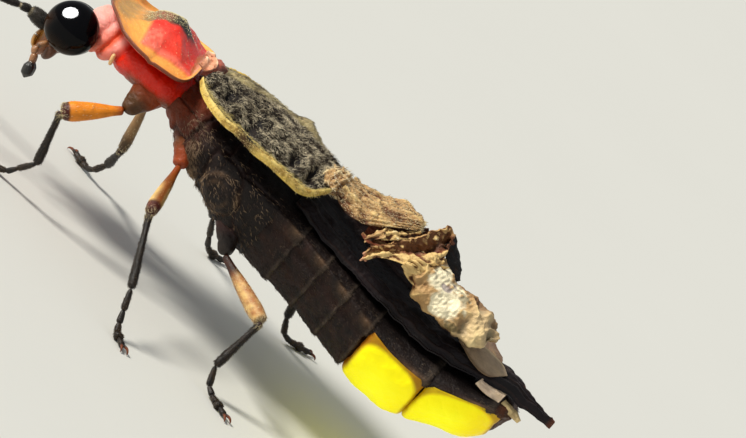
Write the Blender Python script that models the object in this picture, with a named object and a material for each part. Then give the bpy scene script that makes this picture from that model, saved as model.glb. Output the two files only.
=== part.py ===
"""A firefly at life size, standing on its six feet, with its wing cases crumpled.

The head points along -X, the animal's left side along -Y, and the floor is z = 0.
All sizes below are in millimetres; MM turns them into metres when a mesh is made.
x = 0 is the front edge of the pronotum until the last step moves the finished model
so that the middle of its footprint is the origin.
"""
import math

import bmesh
import bpy
import numpy as np
from mathutils import Matrix, Vector

MM = 0.001
GAP = 0.2  # space left between neighbouring pieces

# Driving dimensions, worked out from the photograph at 13.8 mm from pronotum to wing tip
EYE_CENTRE = (-0.18, 0.74, 3.46)
EYE_SIZE = (0.63, 0.49, 0.62)
HEAD_CENTRE = (-0.20, 0.0, 3.42)
HEAD_SIZE = (0.50, 0.62, 0.50)
HEAD_ROLL = 15  # degrees the head tips its right side down, about the middle of the left eye
PRONOTUM_LENGTH = 2.62
PRONOTUM_HALF_WIDTH = 1.84
PRONOTUM_FRONT_CURVE = 1.75  # how far back the rounded front reaches
PRONOTUM_RIM = 0.28  # thickness at the edge of the shield
WING_CASE_THICKNESS = 0.5
HIND_WING_START = 6.35
HIND_WING_ENDS = {"left": 13.8, "right": 12.9}
ANTENNA_LENGTH = 5.4
ANTENNA_SEGMENTS = 11
ANTENNA_SLOPE = -0.25  # rise over run at the root
CLAW_LENGTH = 0.24

# Height of the trunk along its length: x, half width, top, side edge, underside
PROTHORAX_LINES = [
    (0.98, 0.80, 4.02, 3.80, 3.28),
    (1.50, 1.25, 4.25, 4.00, 3.30),
    (2.05, 1.45, 4.40, 4.08, 3.36),
    (2.60, 1.30, 4.40, 4.05, 3.40),
]
TRUNK_LINES = [
    (2.72, 1.20, 4.40, 3.95, 3.38),
    (3.40, 1.55, 4.45, 3.85, 2.95),
    (4.30, 1.75, 4.45, 3.75, 2.60),
    (5.20, 1.80, 4.32, 3.75, 2.22),
    (6.05, 1.72, 4.12, 3.76, 2.08),
    (7.50, 1.76, 3.86, 3.60, 1.98),
    (9.30, 1.76, 3.64, 3.22, 1.70),
    (10.10, 1.72, 3.60, 3.08, 1.66),
    (11.10, 1.62, 3.58, 3.10, 1.76),
    (11.80, 1.45, 3.62, 3.28, 2.12),
    (12.55, 1.15, 3.72, 3.48, 2.42),
    (13.00, 0.70, 3.70, 3.48, 2.85),
]
MESOTHORAX_START = 2.72
METATHORAX_START = 4.25
ABDOMEN_STARTS = {  # first station of each abdominal segment
    "abdomen_2": 6.02,
    "abdomen_3": 6.85,
    "abdomen_4": 7.68,
    "abdomen_5": 8.50,
    "front_organ": 9.36,
    "rear_organ": 11.12,
    "abdomen_tip": 12.62,
}
ABDOMEN_END = 13.05

# Joints of each leg on the photographed side and the far side:
# coxa root, coxa end, knee, ankle, where the foot meets the floor, toe
LEG_JOINTS = {
    "front_left": [(2.15, -0.75, 3.80), (1.89, -1.30, 3.08), (0.85, -1.90, 2.25),
                   (1.28, -1.80, 0.86), (0.84, -1.56, 0.24), (0.28, -1.62, 0.20)],
    "mid_left": [(3.45, -0.85, 3.55), (3.70, -1.50, 2.95), (3.92, -3.20, 2.19),
                 (4.75, -4.40, 0.95), (5.14, -4.90, 0.26), (5.46, -5.28, 0.20)],
    "hind_left": [(5.20, -0.75, 2.90), (5.80, -1.36, 2.08), (7.42, -2.60, 1.86),
                  (7.30, -3.22, 0.58), (7.52, -3.45, 0.24), (8.18, -3.98, 0.20)],
    "front_right": [(2.15, 0.75, 3.80), (2.12, 1.22, 3.00), (2.46, 1.62, 1.42),
                    (2.42, 2.72, 0.62), (2.22, 3.02, 0.24), (1.70, 3.50, 0.20)],
    "mid_right": [(3.45, 0.85, 3.55), (3.75, 1.50, 2.95), (4.10, 3.10, 2.35),
                  (5.00, 4.20, 0.92), (5.38, 4.62, 0.26), (5.80, 5.00, 0.20)],
    "hind_right": [(5.20, 0.75, 2.90), (5.80, 1.36, 2.10), (7.50, 2.50, 2.05),
                   (7.76, 3.28, 0.62), (8.00, 3.55, 0.24), (8.66, 4.12, 0.20)],
}
COXA_RADII = (0.46, 0.30)
FEMUR_RADII = (0.25, 0.31, 0.27)
TIBIA_RADII = (0.25, 0.25, 0.27)
TARSUS_RADII = (0.25, 0.19)
TARSUS_JOINTS = (0.0, 0.32, 0.50, 0.66, 0.80, 1.0)  # ends of the five tarsal pieces

COLOURS = {  # colour, roughness
    "eye": ((0.006, 0.006, 0.008), 0.12),
    "head": ((0.45, 0.17, 0.07), 0.45),
    "feeler": ((0.020, 0.017, 0.014), 0.6),
    "mouth": ((0.38, 0.13, 0.05), 0.4),
    "neck": ((0.80, 0.25, 0.20), 0.45),
    "pronotum": ((0.85, 0.22, 0.08), 0.4),
    "prothorax": ((0.62, 0.06, 0.02), 0.4),
    "thorax": ((0.10, 0.040, 0.025), 0.6),
    "coxa": ((0.24, 0.060, 0.020), 0.5),
    "femur": ((0.72, 0.26, 0.04), 0.4),
    "shin": ((0.025, 0.018, 0.012), 0.55),
    "elytron": ((0.045, 0.032, 0.028), 0.7),
    "crumpled": ((0.62, 0.46, 0.24), 0.65),
    "wing": ((0.022, 0.016, 0.020), 0.45),
    "abdomen": ((0.045, 0.030, 0.024), 0.55),
    "light_organ": ((0.95, 0.88, 0.02), 0.35),
}


def clear_scene():
    for old in list(bpy.data.objects):
        bpy.data.objects.remove(old)


def material(name):
    """The Principled material of that finish, made on first use."""
    found = bpy.data.materials.get(name)
    if found:
        return found
    made = bpy.data.materials.new(name)
    made.use_nodes = True
    shader = made.node_tree.nodes["Principled BSDF"]
    colour, roughness = COLOURS[name]
    shader.inputs["Base Color"].default_value = (*colour, 1.0)
    shader.inputs["Roughness"].default_value = roughness
    shader.inputs["Metallic"].default_value = 0.0
    return made


def new_object(name, points, faces, finish):
    """A smooth mesh object from points in millimetres, with its faces turned outwards."""
    mesh = bpy.data.meshes.new(name)
    mesh.from_pydata((np.asarray(points) * MM).tolist(), [], faces)
    turner = bmesh.new()
    turner.from_mesh(mesh)
    bmesh.ops.recalc_face_normals(turner, faces=turner.faces)
    turner.to_mesh(mesh)
    turner.free()
    mesh.shade_smooth()
    mesh.set_sharp_from_angle(angle=math.radians(40))
    mesh.materials.append(material(finish))
    obj = bpy.data.objects.new(name, mesh)
    bpy.context.scene.collection.objects.link(obj)
    return obj


def through(stations, x):
    """Smooth values at x of a table whose first column is the station (Catmull-Rom slopes)."""
    table = np.asarray(stations, float)
    at, values = table[:, 0], table[:, 1:]
    slopes = np.gradient(values, at, axis=0)
    i = int(np.clip(np.searchsorted(at, x) - 1, 0, len(at) - 2))
    step = at[i + 1] - at[i]
    t = np.clip((x - at[i]) / step, 0, 1)
    return (
        values[i] * (1 + 2 * t) * (1 - t) ** 2
        + values[i + 1] * t * t * (3 - 2 * t)
        + step * slopes[i] * t * (1 - t) ** 2
        - step * slopes[i + 1] * t * t * (1 - t)
    )


def loft(name, rings, finish):
    """A closed body whose skin runs through rings of equal point counts, with a fan at each end."""
    rings = np.asarray(rings, float)
    count, sides = rings.shape[:2]
    points = np.vstack([rings.reshape(-1, 3), rings[0].mean(0), rings[-1].mean(0)])
    faces = []
    for r in range(count - 1):
        for s in range(sides):
            a, b = r * sides + s, r * sides + (s + 1) % sides
            faces += [(a, b, b + sides), (a, b + sides, a + sides)]
    for s in range(sides):
        n = (s + 1) % sides
        faces.append((n, s, count * sides))
        faces.append(((count - 1) * sides + s, (count - 1) * sides + n, count * sides + 1))
    return new_object(name, points, faces, finish)


def plate(name, top, bottom, finish):
    """A closed plate between two grids of points, split into the same triangles on both faces."""
    rows, columns = top.shape[:2]
    points = np.vstack([top.reshape(-1, 3), bottom.reshape(-1, 3)])
    under = rows * columns
    faces = []
    for r in range(rows - 1):
        for c in range(columns - 1):
            a = r * columns + c
            b, d = a + 1, a + columns
            for one in ((a, b, d + 1), (a, d + 1, d)):
                faces += [one, tuple(under + i for i in reversed(one))]
    rim = [c for c in range(columns)]
    rim += [r * columns + columns - 1 for r in range(1, rows)]
    rim += [(rows - 1) * columns + c for c in range(columns - 2, -1, -1)]
    rim += [r * columns for r in range(rows - 2, 0, -1)]
    for a, b in zip(rim, rim[1:] + rim[:1]):
        faces += [(b, a, under + a), (b, under + a, under + b)]
    return new_object(name, points, faces, finish)


def trunk_ring(lines, x, sides=20, swell=1.0, grow=0.0, part="whole"):
    """One cross-section of the trunk: a flatter arch above the side edge and a deeper one below.

    part "upper" or "lower" takes only the arch on that side of the edge, closed straight across.
    """
    half_width, top, edge, bottom = through(lines, x)
    half_width = half_width * swell + grow
    rise = (top - edge) * swell + grow
    drop = (edge - bottom) * swell + grow
    start, end = {"whole": (0, 2), "upper": (0, 1), "lower": (1, 2)}[part]
    if part == "whole":
        angles = np.linspace(0, 2 * math.pi, sides, endpoint=False)
    else:
        angles = np.linspace(start * math.pi, end * math.pi, sides)
    across, up = np.cos(angles), np.sin(angles)
    across = np.sign(across) * np.abs(across) ** 0.85
    up = np.where(up > 0, up * rise, up * drop)
    if part == "upper":
        up = up + GAP / 2
    if part == "lower":
        up = up - GAP / 2
    return np.stack([np.full(sides, x), across * half_width, edge + up], axis=1)


def trunk_segment(name, lines, start, end, finish, steps=5, part="whole", flare=0.05, sides=20):
    """One segment of the trunk: its front edge tucked in and its rear edge flared over the next."""
    rings = []
    for t in np.linspace(0, 1, steps):
        x = start + GAP / 2 + (end - start - GAP) * t
        swell = 1 + flare * (t - 0.35) - 0.5 * flare * (1 - t) ** 4
        rings.append(trunk_ring(lines, x, sides, swell, part=part))
    return loft(name, rings, finish)


def trunk_top(x, y):
    """Height of the trunk's upper arch at x, y."""
    half_width, top, edge, _ = through(TRUNK_LINES, x)
    inside = min(abs(y) / half_width, 1.0) ** (1 / 0.85)
    return edge + (top - edge) * math.sqrt(1 - inside**2)


def ellipsoid(name, centre, size, finish, around=20, rows=10):
    """A closed ellipsoid with its poles on the Y axis."""
    points, faces = [], []
    for r in range(1, rows):
        a = math.pi * r / rows
        for s in range(around):
            b = 2 * math.pi * s / around
            unit = (math.sin(a) * math.cos(b), math.cos(a), math.sin(a) * math.sin(b))
            points.append([c + h * u for c, h, u in zip(centre, size, unit)])
    poles = len(points)
    points.append([centre[0], centre[1] + size[1], centre[2]])
    points.append([centre[0], centre[1] - size[1], centre[2]])
    for s in range(around):
        n = (s + 1) % around
        faces.append((poles, s, n))
        faces.append((poles + 1, (rows - 2) * around + n, (rows - 2) * around + s))
        for r in range(rows - 2):
            a, b = r * around + s, r * around + n
            faces += [(a, a + around, b + around), (a, b + around, b)]
    return new_object(name, points, faces, finish)


def grown(value, by=GAP):
    return tuple(v + by for v in value)


def tube_rings(path, radii, sides, start_plane=None, end_plane=None, flat=1.0):
    """Rings of a tube along a path, carried on without twisting.

    The first and last ring can be slanted to lie in a given plane.
    """
    path = [Vector(p) for p in path]
    rings = []
    side = (path[1] - path[0]).cross(Vector((0, 0, 1)))
    for i, centre in enumerate(path):
        ahead = (path[min(i + 1, len(path) - 1)] - path[max(i - 1, 0)]).normalized()
        side = (side - ahead * side.dot(ahead)).normalized()
        lift = side.cross(ahead).normalized()
        ring = []
        for s in range(sides):
            a = 2 * math.pi * s / sides
            offset = side * (math.cos(a) * radii[i]) + lift * (math.sin(a) * radii[i] * flat)
            point = centre + offset
            for at_end, plane in ((i == 0, start_plane), (i == len(path) - 1, end_plane)):
                if at_end and plane is not None:
                    base, normal = plane
                    point += ahead * ((base - point).dot(normal) / ahead.dot(normal))
            ring.append(point)
        rings.append(ring)
    return rings


def mitre(before, joint, after):
    """The plane that halves the bend at a joint: a point on it and its normal."""
    before, joint, after = Vector(before), Vector(joint), Vector(after)
    normal = ((joint - before).normalized() + (after - joint).normalized()).normalized()
    return joint, normal


def straight(a, b, steps):
    return [tuple(Vector(a).lerp(Vector(b), t)) for t in np.linspace(0, 1, steps)]


def spread(values, steps):
    """Values spaced evenly along a limb, read at that many steps."""
    return np.interp(np.linspace(0, 1, steps), np.linspace(0, 1, len(values)), values)


def cut_by(obj, cutters):
    """Takes the cutters' space out of obj, keeps its largest piece and removes the cutters."""
    for cutter in cutters:
        cutter.hide_render = True
        cutter.display_type = "WIRE"
        modifier = obj.modifiers.new("cut", "BOOLEAN")
        modifier.operation = "DIFFERENCE"
        modifier.solver = "EXACT"
        modifier.object = cutter
    return settle(obj, cutters)


def joined(obj, others, solver="EXACT"):
    """Joins the others to obj in one union, keeps the largest closed surface and removes them."""
    group = bpy.data.collections.new(obj.name + "_pieces")
    for other in others:
        group.objects.link(other)
    modifier = obj.modifiers.new("join", "BOOLEAN")
    modifier.operation = "UNION"
    modifier.solver = solver
    modifier.operand_type = "COLLECTION"
    modifier.collection = group
    done = settle(obj, others)
    bpy.data.collections.remove(group)
    return done


def settle(obj, helpers):
    """Applies the object's Booleans and leaves only its largest connected surface."""
    bpy.context.view_layer.update()
    graph = bpy.context.evaluated_depsgraph_get()
    made = bpy.data.meshes.new_from_object(obj.evaluated_get(graph))
    obj.modifiers.clear()
    obj.data = made
    for helper in helpers:
        bpy.data.objects.remove(helper)
    work = bmesh.new()
    work.from_mesh(made)
    bmesh.ops.remove_doubles(work, verts=work.verts, dist=2e-6)
    unseen, islands = set(work.verts), []
    while unseen:
        edge_of, island = [unseen.pop()], []
        while edge_of:
            vert = edge_of.pop()
            island.append(vert)
            for edge in vert.link_edges:
                other = edge.other_vert(vert)
                if other in unseen:
                    unseen.remove(other)
                    edge_of.append(other)
        islands.append(island)
    islands.sort(key=len)
    loose = [v for island in islands[:-1] for v in island]
    bmesh.ops.delete(work, geom=loose, context="VERTS")
    bmesh.ops.triangulate(work, faces=work.faces)
    work.to_mesh(made)
    work.free()
    made.shade_smooth()
    made.set_sharp_from_angle(angle=math.radians(40))
    return obj


def side_of(name):
    return -1 if "left" in name else 1


def rolled(obj):
    """Tips a piece of the head sideways with the rest of it."""
    x, y, z = EYE_CENTRE
    pivot = Vector((x, -y, z)) * MM
    roll = Matrix.Rotation(math.radians(-HEAD_ROLL), 4, "X")
    obj.data.transform(Matrix.Translation(pivot) @ roll @ Matrix.Translation(-pivot))
    return obj


def eye(name, swell=0.0):
    x, y, z = EYE_CENTRE
    centre = (x, side_of(name) * y, z)
    return rolled(ellipsoid(name, centre, grown(EYE_SIZE, swell), "eye", 20, 10))


def head_form(name, swell=0.0):
    return rolled(ellipsoid(name, HEAD_CENTRE, grown(HEAD_SIZE, swell), "head", 20, 12))


def head_cutters(tag):
    """The head and both eyes, grown by the gap, for what meets them."""
    return [
        eye(f"cut_{tag}_left", GAP),
        eye(f"cut_{tag}_right", GAP),
        head_form(f"cut_{tag}_head", GAP),
    ]


def build_head():
    eye("eye_left")
    eye("eye_right")
    head = head_form("head")
    cut_by(head, [eye("cut_left", GAP), eye("cut_right", GAP)])


def build_mouth():
    """The labrum over two curved mandibles, and a palp of four joints on each side."""
    path = [(-0.60, 0, 2.98), (-0.66, 0, 2.76), (-0.64, 0, 2.52)]
    labrum = rolled(loft("labrum", tube_rings(path, (0.28, 0.30, 0.22), 10, flat=0.6), "mouth"))
    cut_by(labrum, head_cutters("labrum"))
    for side in ("left", "right"):
        s = side_of(side)
        path = [(-0.10, s * 0.30, 3.18), (-0.10, s * 0.34, 2.74), (-0.20, s * 0.28, 2.50),
                (-0.36, s * 0.12, 2.36)]
        rings = tube_rings(path, (0.15, 0.15, 0.11, 0.04), 8)
        mandible = rolled(loft("mandible_" + side, rings, "mouth"))
        cut_by(mandible, head_cutters("mandible"))
        path = [(-0.24, s * 0.50, 3.08), (-0.34, s * 0.60, 2.73), (-0.40, s * 0.62, 2.51),
                (-0.41, s * 0.62, 2.43), (-0.40, s * 0.60, 2.26), (-0.36, s * 0.58, 2.10),
                (-0.33, s * 0.57, 1.98)]
        rings = tube_rings(path, (0.16, 0.17, 0.20, 0.15, 0.20, 0.19, 0.06), 8)
        palp = rolled(loft("palp_" + side, rings, "feeler"))
        cut_by(palp, head_cutters("palp"))


def antenna_path(side, steps):
    """A gentle forward sweep that sinks towards the tip."""
    s = side_of(side)
    t = np.linspace(0, 1, steps)
    x = HEAD_CENTRE[0] - 0.42 - ANTENNA_LENGTH * t
    y = s * (0.26 + 2.3 * t**1.3)
    z = 3.35 + ANTENNA_LENGTH * ANTENNA_SLOPE * (t - 0.35 * t * t)
    return np.stack([x, y, z], axis=1)


def build_antennae():
    """Eleven joints each: a stout first one, a short second, then slightly toothed long ones."""
    ends = np.cumsum([0.0, 1.35, 0.55] + [1.0] * (ANTENNA_SEGMENTS - 2))
    ends = ends / ends[-1]
    stops, radii = [], []
    for i in range(ANTENNA_SEGMENTS):
        first, last = ends[i], ends[i + 1]
        size = 0.30 if i == 0 else 0.27 - 0.09 * i / ANTENNA_SEGMENTS
        for share, width in ((0.06, 0.72), (0.75, 1.0), (0.95, 0.85)):
            stops.append(first + (last - first) * share)
            radii.append(size * width)
    radii[-1] = 0.08
    for side in ("left", "right"):
        path = antenna_path(side, 60)
        at = np.linspace(0, 1, 60)
        points = [[np.interp(t, at, path[:, k]) for k in range(3)] for t in stops]
        feeler = rolled(loft("antenna_" + side, tube_rings(points, radii, 8), "feeler"))
        cut_by(feeler, head_cutters("antenna"))


def build_neck():
    """The soft neck, with three folds in its skin, between the head and the prothorax."""
    start, end = Vector((0.02, 0, 3.55)), Vector((0.92, 0, 3.66))
    rings = []
    for t in np.linspace(0, 1, 11):
        centre = start.lerp(end, t)
        fold = 1 + 0.05 * math.cos(2 * math.pi * 3 * t)
        a = np.linspace(0, 2 * math.pi, 18, endpoint=False)
        rings.append(np.stack([
            centre.x - 0.30 * np.sin(a) * (1 - t),
            0.66 * fold * np.cos(a),
            centre.z + 0.47 * fold * np.sin(a),
        ], axis=1))
    neck = loft("neck", rings, "neck")
    cut_by(neck, head_cutters("neck"))


def pronotum_outline(angle):
    """Edge of the shield seen from above: a rounded front, straight sides, a wavy rear edge."""
    across, along = math.sin(angle), -math.cos(angle)
    if along < 0:
        x = PRONOTUM_FRONT_CURVE * (1 + along)
        return x, PRONOTUM_HALF_WIDTH * across
    rear = PRONOTUM_LENGTH - PRONOTUM_FRONT_CURVE
    power = 0.30
    x = PRONOTUM_FRONT_CURVE + rear * along**power
    y = PRONOTUM_HALF_WIDTH * np.sign(across) * abs(across) ** power * (1 - 0.04 * along)
    return x, y


def pronotum_height(x, y, reach):
    """Top of the shield: a domed disc that flattens to a slightly raised rim (reach is 1 there)."""
    margin = 4.46 + 0.085 * x
    dome = np.interp(x, (0.0, 0.3, 0.85, 1.6, 2.62), (0.0, 0.25, 0.42, 0.36, 0.22))
    level = 0.5 + 0.5 * math.cos(math.pi * min(reach / 0.86, 1.0))
    rim = 0.05 * max(0.0, reach - 0.86) / 0.14
    crease = -0.04 * math.exp(-((y / 0.12) ** 2)) * (1 - reach)
    return margin + dome * level + rim + crease


def pronotum_form(name, swell=0.0):
    """The shield as rings that shrink to its middle, over and under."""
    around = 36
    angles = np.linspace(0, 2 * math.pi, around, endpoint=False)
    reaches = (1.0, 0.93, 0.86, 0.70, 0.48, 0.24)
    centre = (1.45, 0.0)
    over, under = [], []
    for reach in reaches:
        top, low = [], []
        for angle in angles:
            x, y = pronotum_outline(angle)
            length = math.hypot(x - centre[0], y)
            share = reach + swell / length
            x, y = centre[0] + (x - centre[0]) * share, y * share
            z = pronotum_height(min(max(x, 0), PRONOTUM_LENGTH), y, reach)
            top.append((x, y, z + swell))
            low.append((x, y, z - np.interp(reach, (0.2, 1), (0.5, PRONOTUM_RIM)) - swell))
        over.append(top)
        under.append(low)
    return loft(name, under[::-1] + over, "pronotum")


def build_prothorax():
    pronotum_form("pronotum")
    rings = [trunk_ring(PROTHORAX_LINES, x, 18) for x in np.linspace(1.02, 2.60, 6)]
    body = loft("prothorax", rings, "prothorax")
    cut_by(body, [pronotum_form("cut_pronotum", GAP)])


def build_trunk():
    trunk_segment("mesothorax", TRUNK_LINES, MESOTHORAX_START, METATHORAX_START, "thorax", 5, flare=0.03)
    trunk_segment("metathorax", TRUNK_LINES, METATHORAX_START, ABDOMEN_STARTS["abdomen_2"], "thorax", 6,
                  flare=0.03)
    names = list(ABDOMEN_STARTS)
    ends = [ABDOMEN_STARTS[n] for n in names[1:]] + [ABDOMEN_END]
    for name, end in zip(names, ends):
        start = ABDOMEN_STARTS[name]
        if name.endswith("organ"):
            side = name.split("_")[0]
            trunk_segment(f"light_organ_{side}", TRUNK_LINES, start, end, "light_organ", 7, "lower", 0.08, 16)
            trunk_segment(f"tergite_{side}", TRUNK_LINES, start, end, "abdomen", 5, "upper", 0.04, 12)
        else:
            trunk_segment(name, TRUNK_LINES, start, end, "abdomen", 4, flare=0.07)


def build_scutellum():
    """The small shield between the roots of the wing cases: a plate that narrows to the rear."""
    rings = []
    for t in np.linspace(0, 1, 4):
        x = 2.70 + 0.62 * t
        half = 0.42 * (1 - t) + 0.10
        base, top = 4.58, 4.90 + 0.06 * math.sin(math.pi * t)
        rings.append([(x, -half, base), (x, half, base), (x, half * 0.8, top), (x, -half * 0.8, top)])
    loft("scutellum", rings, "prothorax")


def wing_case(name, margin, seam, finish, rows, bulge, ribs=3, columns=13, edge=0.26):
    """A wing case between its outer margin and its seam, both given as points along its length.

    It bulges between the two, raised ribs run along it, and it thins to its edges.
    """
    margin, seam = np.asarray(margin, float), np.asarray(seam, float)
    at = np.linspace(0, 1, len(margin))
    seam_at = np.linspace(0, 1, len(seam))
    top = np.zeros((rows, columns, 3))
    for r, u in enumerate(np.linspace(0, 1, rows)):
        outer = through(np.column_stack([at, margin]), u)
        inner = through(np.column_stack([seam_at, seam]), u)
        for c, v in enumerate(np.linspace(0, 1, columns)):
            point = outer * (1 - v) + inner * v
            rib = 0.045 * (0.5 - 0.5 * math.cos(2 * math.pi * (ribs + 1) * v)) * math.sin(math.pi * v)
            wave = 0.05 * math.sin(2 * math.pi * 1.4 * u + 1.0) * math.sin(math.pi * v)
            point[2] += bulge * math.sin(math.pi * v) ** 0.8 + rib + wave
            top[r, c] = point
    across = np.linspace(0, 1, columns)
    depth = edge + (WING_CASE_THICKNESS - edge) * np.sin(np.pi * across) ** 0.5
    bottom = top.copy()
    bottom[:, :, 2] -= depth[None, :]
    return plate(name, top, bottom, finish)


def build_wing_cases():
    """The wing cases: whole and dark at the shoulders, crumpled and pale behind."""
    margin = [(2.88, -1.60, 4.80), (3.15, -2.02, 4.78), (3.75, -2.16, 4.78), (4.30, -2.18, 4.76),
              (4.80, -2.18, 4.66), (5.50, -2.08, 4.60), (6.05, -1.94, 4.64), (6.46, -1.66, 4.92)]
    seam = [(2.98, -0.66, 4.88), (3.60, -0.10, 4.96), (4.50, -0.10, 5.10), (5.30, -0.10, 5.10),
            (5.90, -0.12, 5.10), (6.46, -0.28, 5.02)]
    clear_of_wing(wing_case("elytron_left_base", margin, seam, "elytron", 15, 0.16))
    margin_right = [(x, -y, z - 0.14) for x, y, z in margin]
    seam_right = [(x, -y, z - 0.04) for x, y, z in seam]
    clear_of_wing(wing_case("elytron_right_base", margin_right, seam_right, "elytron", 15, 0.10))
    build_left_folds()
    build_right_folds()


def clear_of_wing(obj, others=()):
    """Cuts obj back from the hind wing of its side, and from any other cutters."""
    side = "left" if "left" in obj.name else "right"
    return cut_by(obj, [hind_wing("cut_wing_" + side, GAP), *others])


def build_left_folds():
    """Behind the dark half the left wing case rises in a flat fold, a cross ridge and a lumpy end."""
    low = [(6.66, -1.62, 5.12), (7.05, -1.70, 5.00), (7.60, -1.68, 5.06), (8.06, -1.46, 5.24),
           (8.56, -1.05, 5.60)]
    high = [(6.68, -0.26, 5.12), (7.35, -0.22, 5.28), (7.95, -0.24, 5.50), (8.36, -0.32, 5.62),
            (8.60, -0.50, 5.66)]
    fold = wing_case("elytron_left_fold", low, high, "crumpled", 12, 0.05, ribs=4)
    clear_of_wing(fold, [cross_ridge("cut_ridge", GAP)])
    clear_of_wing(cross_ridge("elytron_left_ridge"))
    clear_of_wing(lumpy_tip("elytron_left_tip"), [cross_ridge("cut_ridge", GAP)])


def cross_ridge(name, swell=0.0):
    """A tent-shaped fold across the wing case, from a low outer point up to a raised inner corner."""
    rings = []
    for t in np.linspace(0, 1, 9):
        crest = Vector((8.46 + 0.76 * t, -1.86 + 1.60 * t, 4.60 + 1.22 * t**0.9))
        crest.z += 0.07 * math.sin(2 * math.pi * 2.5 * t)
        front = crest + Vector((-0.20 - 0.04 * math.sin(math.pi * t), 0.10, -0.34 - 0.14 * t))
        front_top = crest + Vector((-0.14, 0.0, -0.10))
        rear_top = crest + Vector((0.22, -0.02, -0.08))
        rear = crest + Vector((0.34, 0.04, -0.48 - 0.22 * t))
        middle = crest + Vector((0.06, 0.10, -0.50 - 0.10 * t))
        ring = [front, front_top, crest, rear_top, rear, middle]
        heart = sum(ring, Vector()) / 6
        rings.append([p + (p - heart).normalized() * swell for p in ring])
    along = Vector((0.86, 1.66, 1.36)).normalized() * swell
    rings[0] = [p - along for p in rings[0]]
    rings[-1] = [p + along for p in rings[-1]]
    return loft(name, rings, "crumpled")


def lumpy_tip(name):
    """The balled end of the left wing case: a packet of folds that narrows to the rear."""
    rings = []
    lengths = np.linspace(0, 1, 12)
    for t in lengths:
        x = 9.06 + 2.42 * t
        y = -1.10 + 0.26 * t
        z = 4.82 - 0.04 * t
        wide = 0.62 * (1 - 0.25 * t) * min(1.0, 0.55 + 3 * t) * min(1.0, 0.35 + 5 * (1 - t))
        high = 0.50 * (1 - 0.15 * t) * min(1.0, 0.7 + 3 * t) * min(1.0, 0.35 + 5 * (1 - t))
        ring = []
        for s in range(14):
            a = 2 * math.pi * s / 14
            crumple = 1 + 0.16 * math.sin(3 * a + 9 * t) + 0.10 * math.sin(5 * a - 14 * t + 1)
            ring.append((x + 0.10 * math.sin(2 * a + 5 * t), y + wide * crumple * math.cos(a),
                         z + high * crumple * math.sin(a)))
        rings.append(ring)
    return loft(name, rings, "crumpled")


def build_right_folds():
    """The far wing case runs on dark and narrow behind, then ends in a pale drooping lobe."""
    margin = [(6.66, 1.60, 4.72), (7.60, 1.55, 4.66), (8.60, 1.46, 4.66), (9.50, 1.30, 4.66),
              (10.10, 1.10, 4.66)]
    seam = [(6.66, 0.26, 5.00), (7.60, 0.20, 5.00), (8.60, 0.20, 5.02), (9.50, 0.22, 4.96),
            (10.05, 0.30, 4.86)]
    clear_of_wing(wing_case("elytron_right_rear", margin, seam, "elytron", 10, 0.08, columns=11))
    margin = [(10.30, 1.20, 4.60), (10.85, 1.20, 4.52), (11.40, 1.06, 4.42), (11.90, 0.72, 4.32)]
    seam = [(10.28, 0.28, 4.78), (10.90, 0.16, 4.66), (11.50, 0.14, 4.50), (11.96, 0.30, 4.36)]
    clear_of_wing(wing_case("elytron_right_tip", margin, seam, "crumpled", 9, 0.04, ribs=2, columns=9))


def hind_wing(name, swell=0.0):
    """A folded hind wing lying on the abdomen, with raised veins, drawn out to a narrow tip."""
    s = side_of(name)
    end = HIND_WING_ENDS["left" if s < 0 else "right"]
    rows, columns = 16, 9
    top = np.zeros((rows, columns, 3))
    bottom = np.zeros((rows, columns, 3))
    for r, u in enumerate(np.linspace(0, 1, rows)):
        x = HIND_WING_START + (end - HIND_WING_START) * u
        inner = GAP / 2
        outer = np.interp(u, (0, 0.12, 0.55, 0.80, 1), (1.25, 1.38, 1.32, 0.85, 0.32))
        for c, v in enumerate(np.linspace(0, 1, columns)):
            y = s * (inner + (outer - inner) * v)
            under = trunk_top(min(x, ABDOMEN_END), y) + GAP
            under -= 0.12 * max(0.0, x - ABDOMEN_END)
            vein = 0.05 * (0.5 - 0.5 * math.cos(2 * math.pi * 3 * v))
            taper = np.interp(u, (0, 0.65, 1), (1, 0.85, 0.4))
            depth = (0.42 + 0.10 * math.sin(math.pi * v)) * taper
            top[r, c] = (x, y, under + depth + vein)
            bottom[r, c] = (x, y, under)
    if swell:
        top[:, :, 2] += swell
        bottom[:, :, 2] -= swell
        top[:, 0, 1] -= s * swell
        bottom[:, 0, 1] -= s * swell
        top[:, -1, 1] += s * swell
        bottom[:, -1, 1] += s * swell
    return plate(name, top, bottom, "wing")


def build_hind_wings():
    hind_wing("hind_wing_left")
    hind_wing("hind_wing_right")


def thorax_cutter(name, front):
    """The trunk part that a leg grows from, grown by the gap."""
    if front:
        lines, start, end = PROTHORAX_LINES, 1.02, 2.60
    else:
        lines, start, end = TRUNK_LINES, MESOTHORAX_START, ABDOMEN_STARTS["abdomen_4"]
    stations = np.linspace(start - GAP, end + GAP, 8)
    return loft(name, [trunk_ring(lines, x, 20, 1.015, GAP) for x in stations], "thorax")


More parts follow.
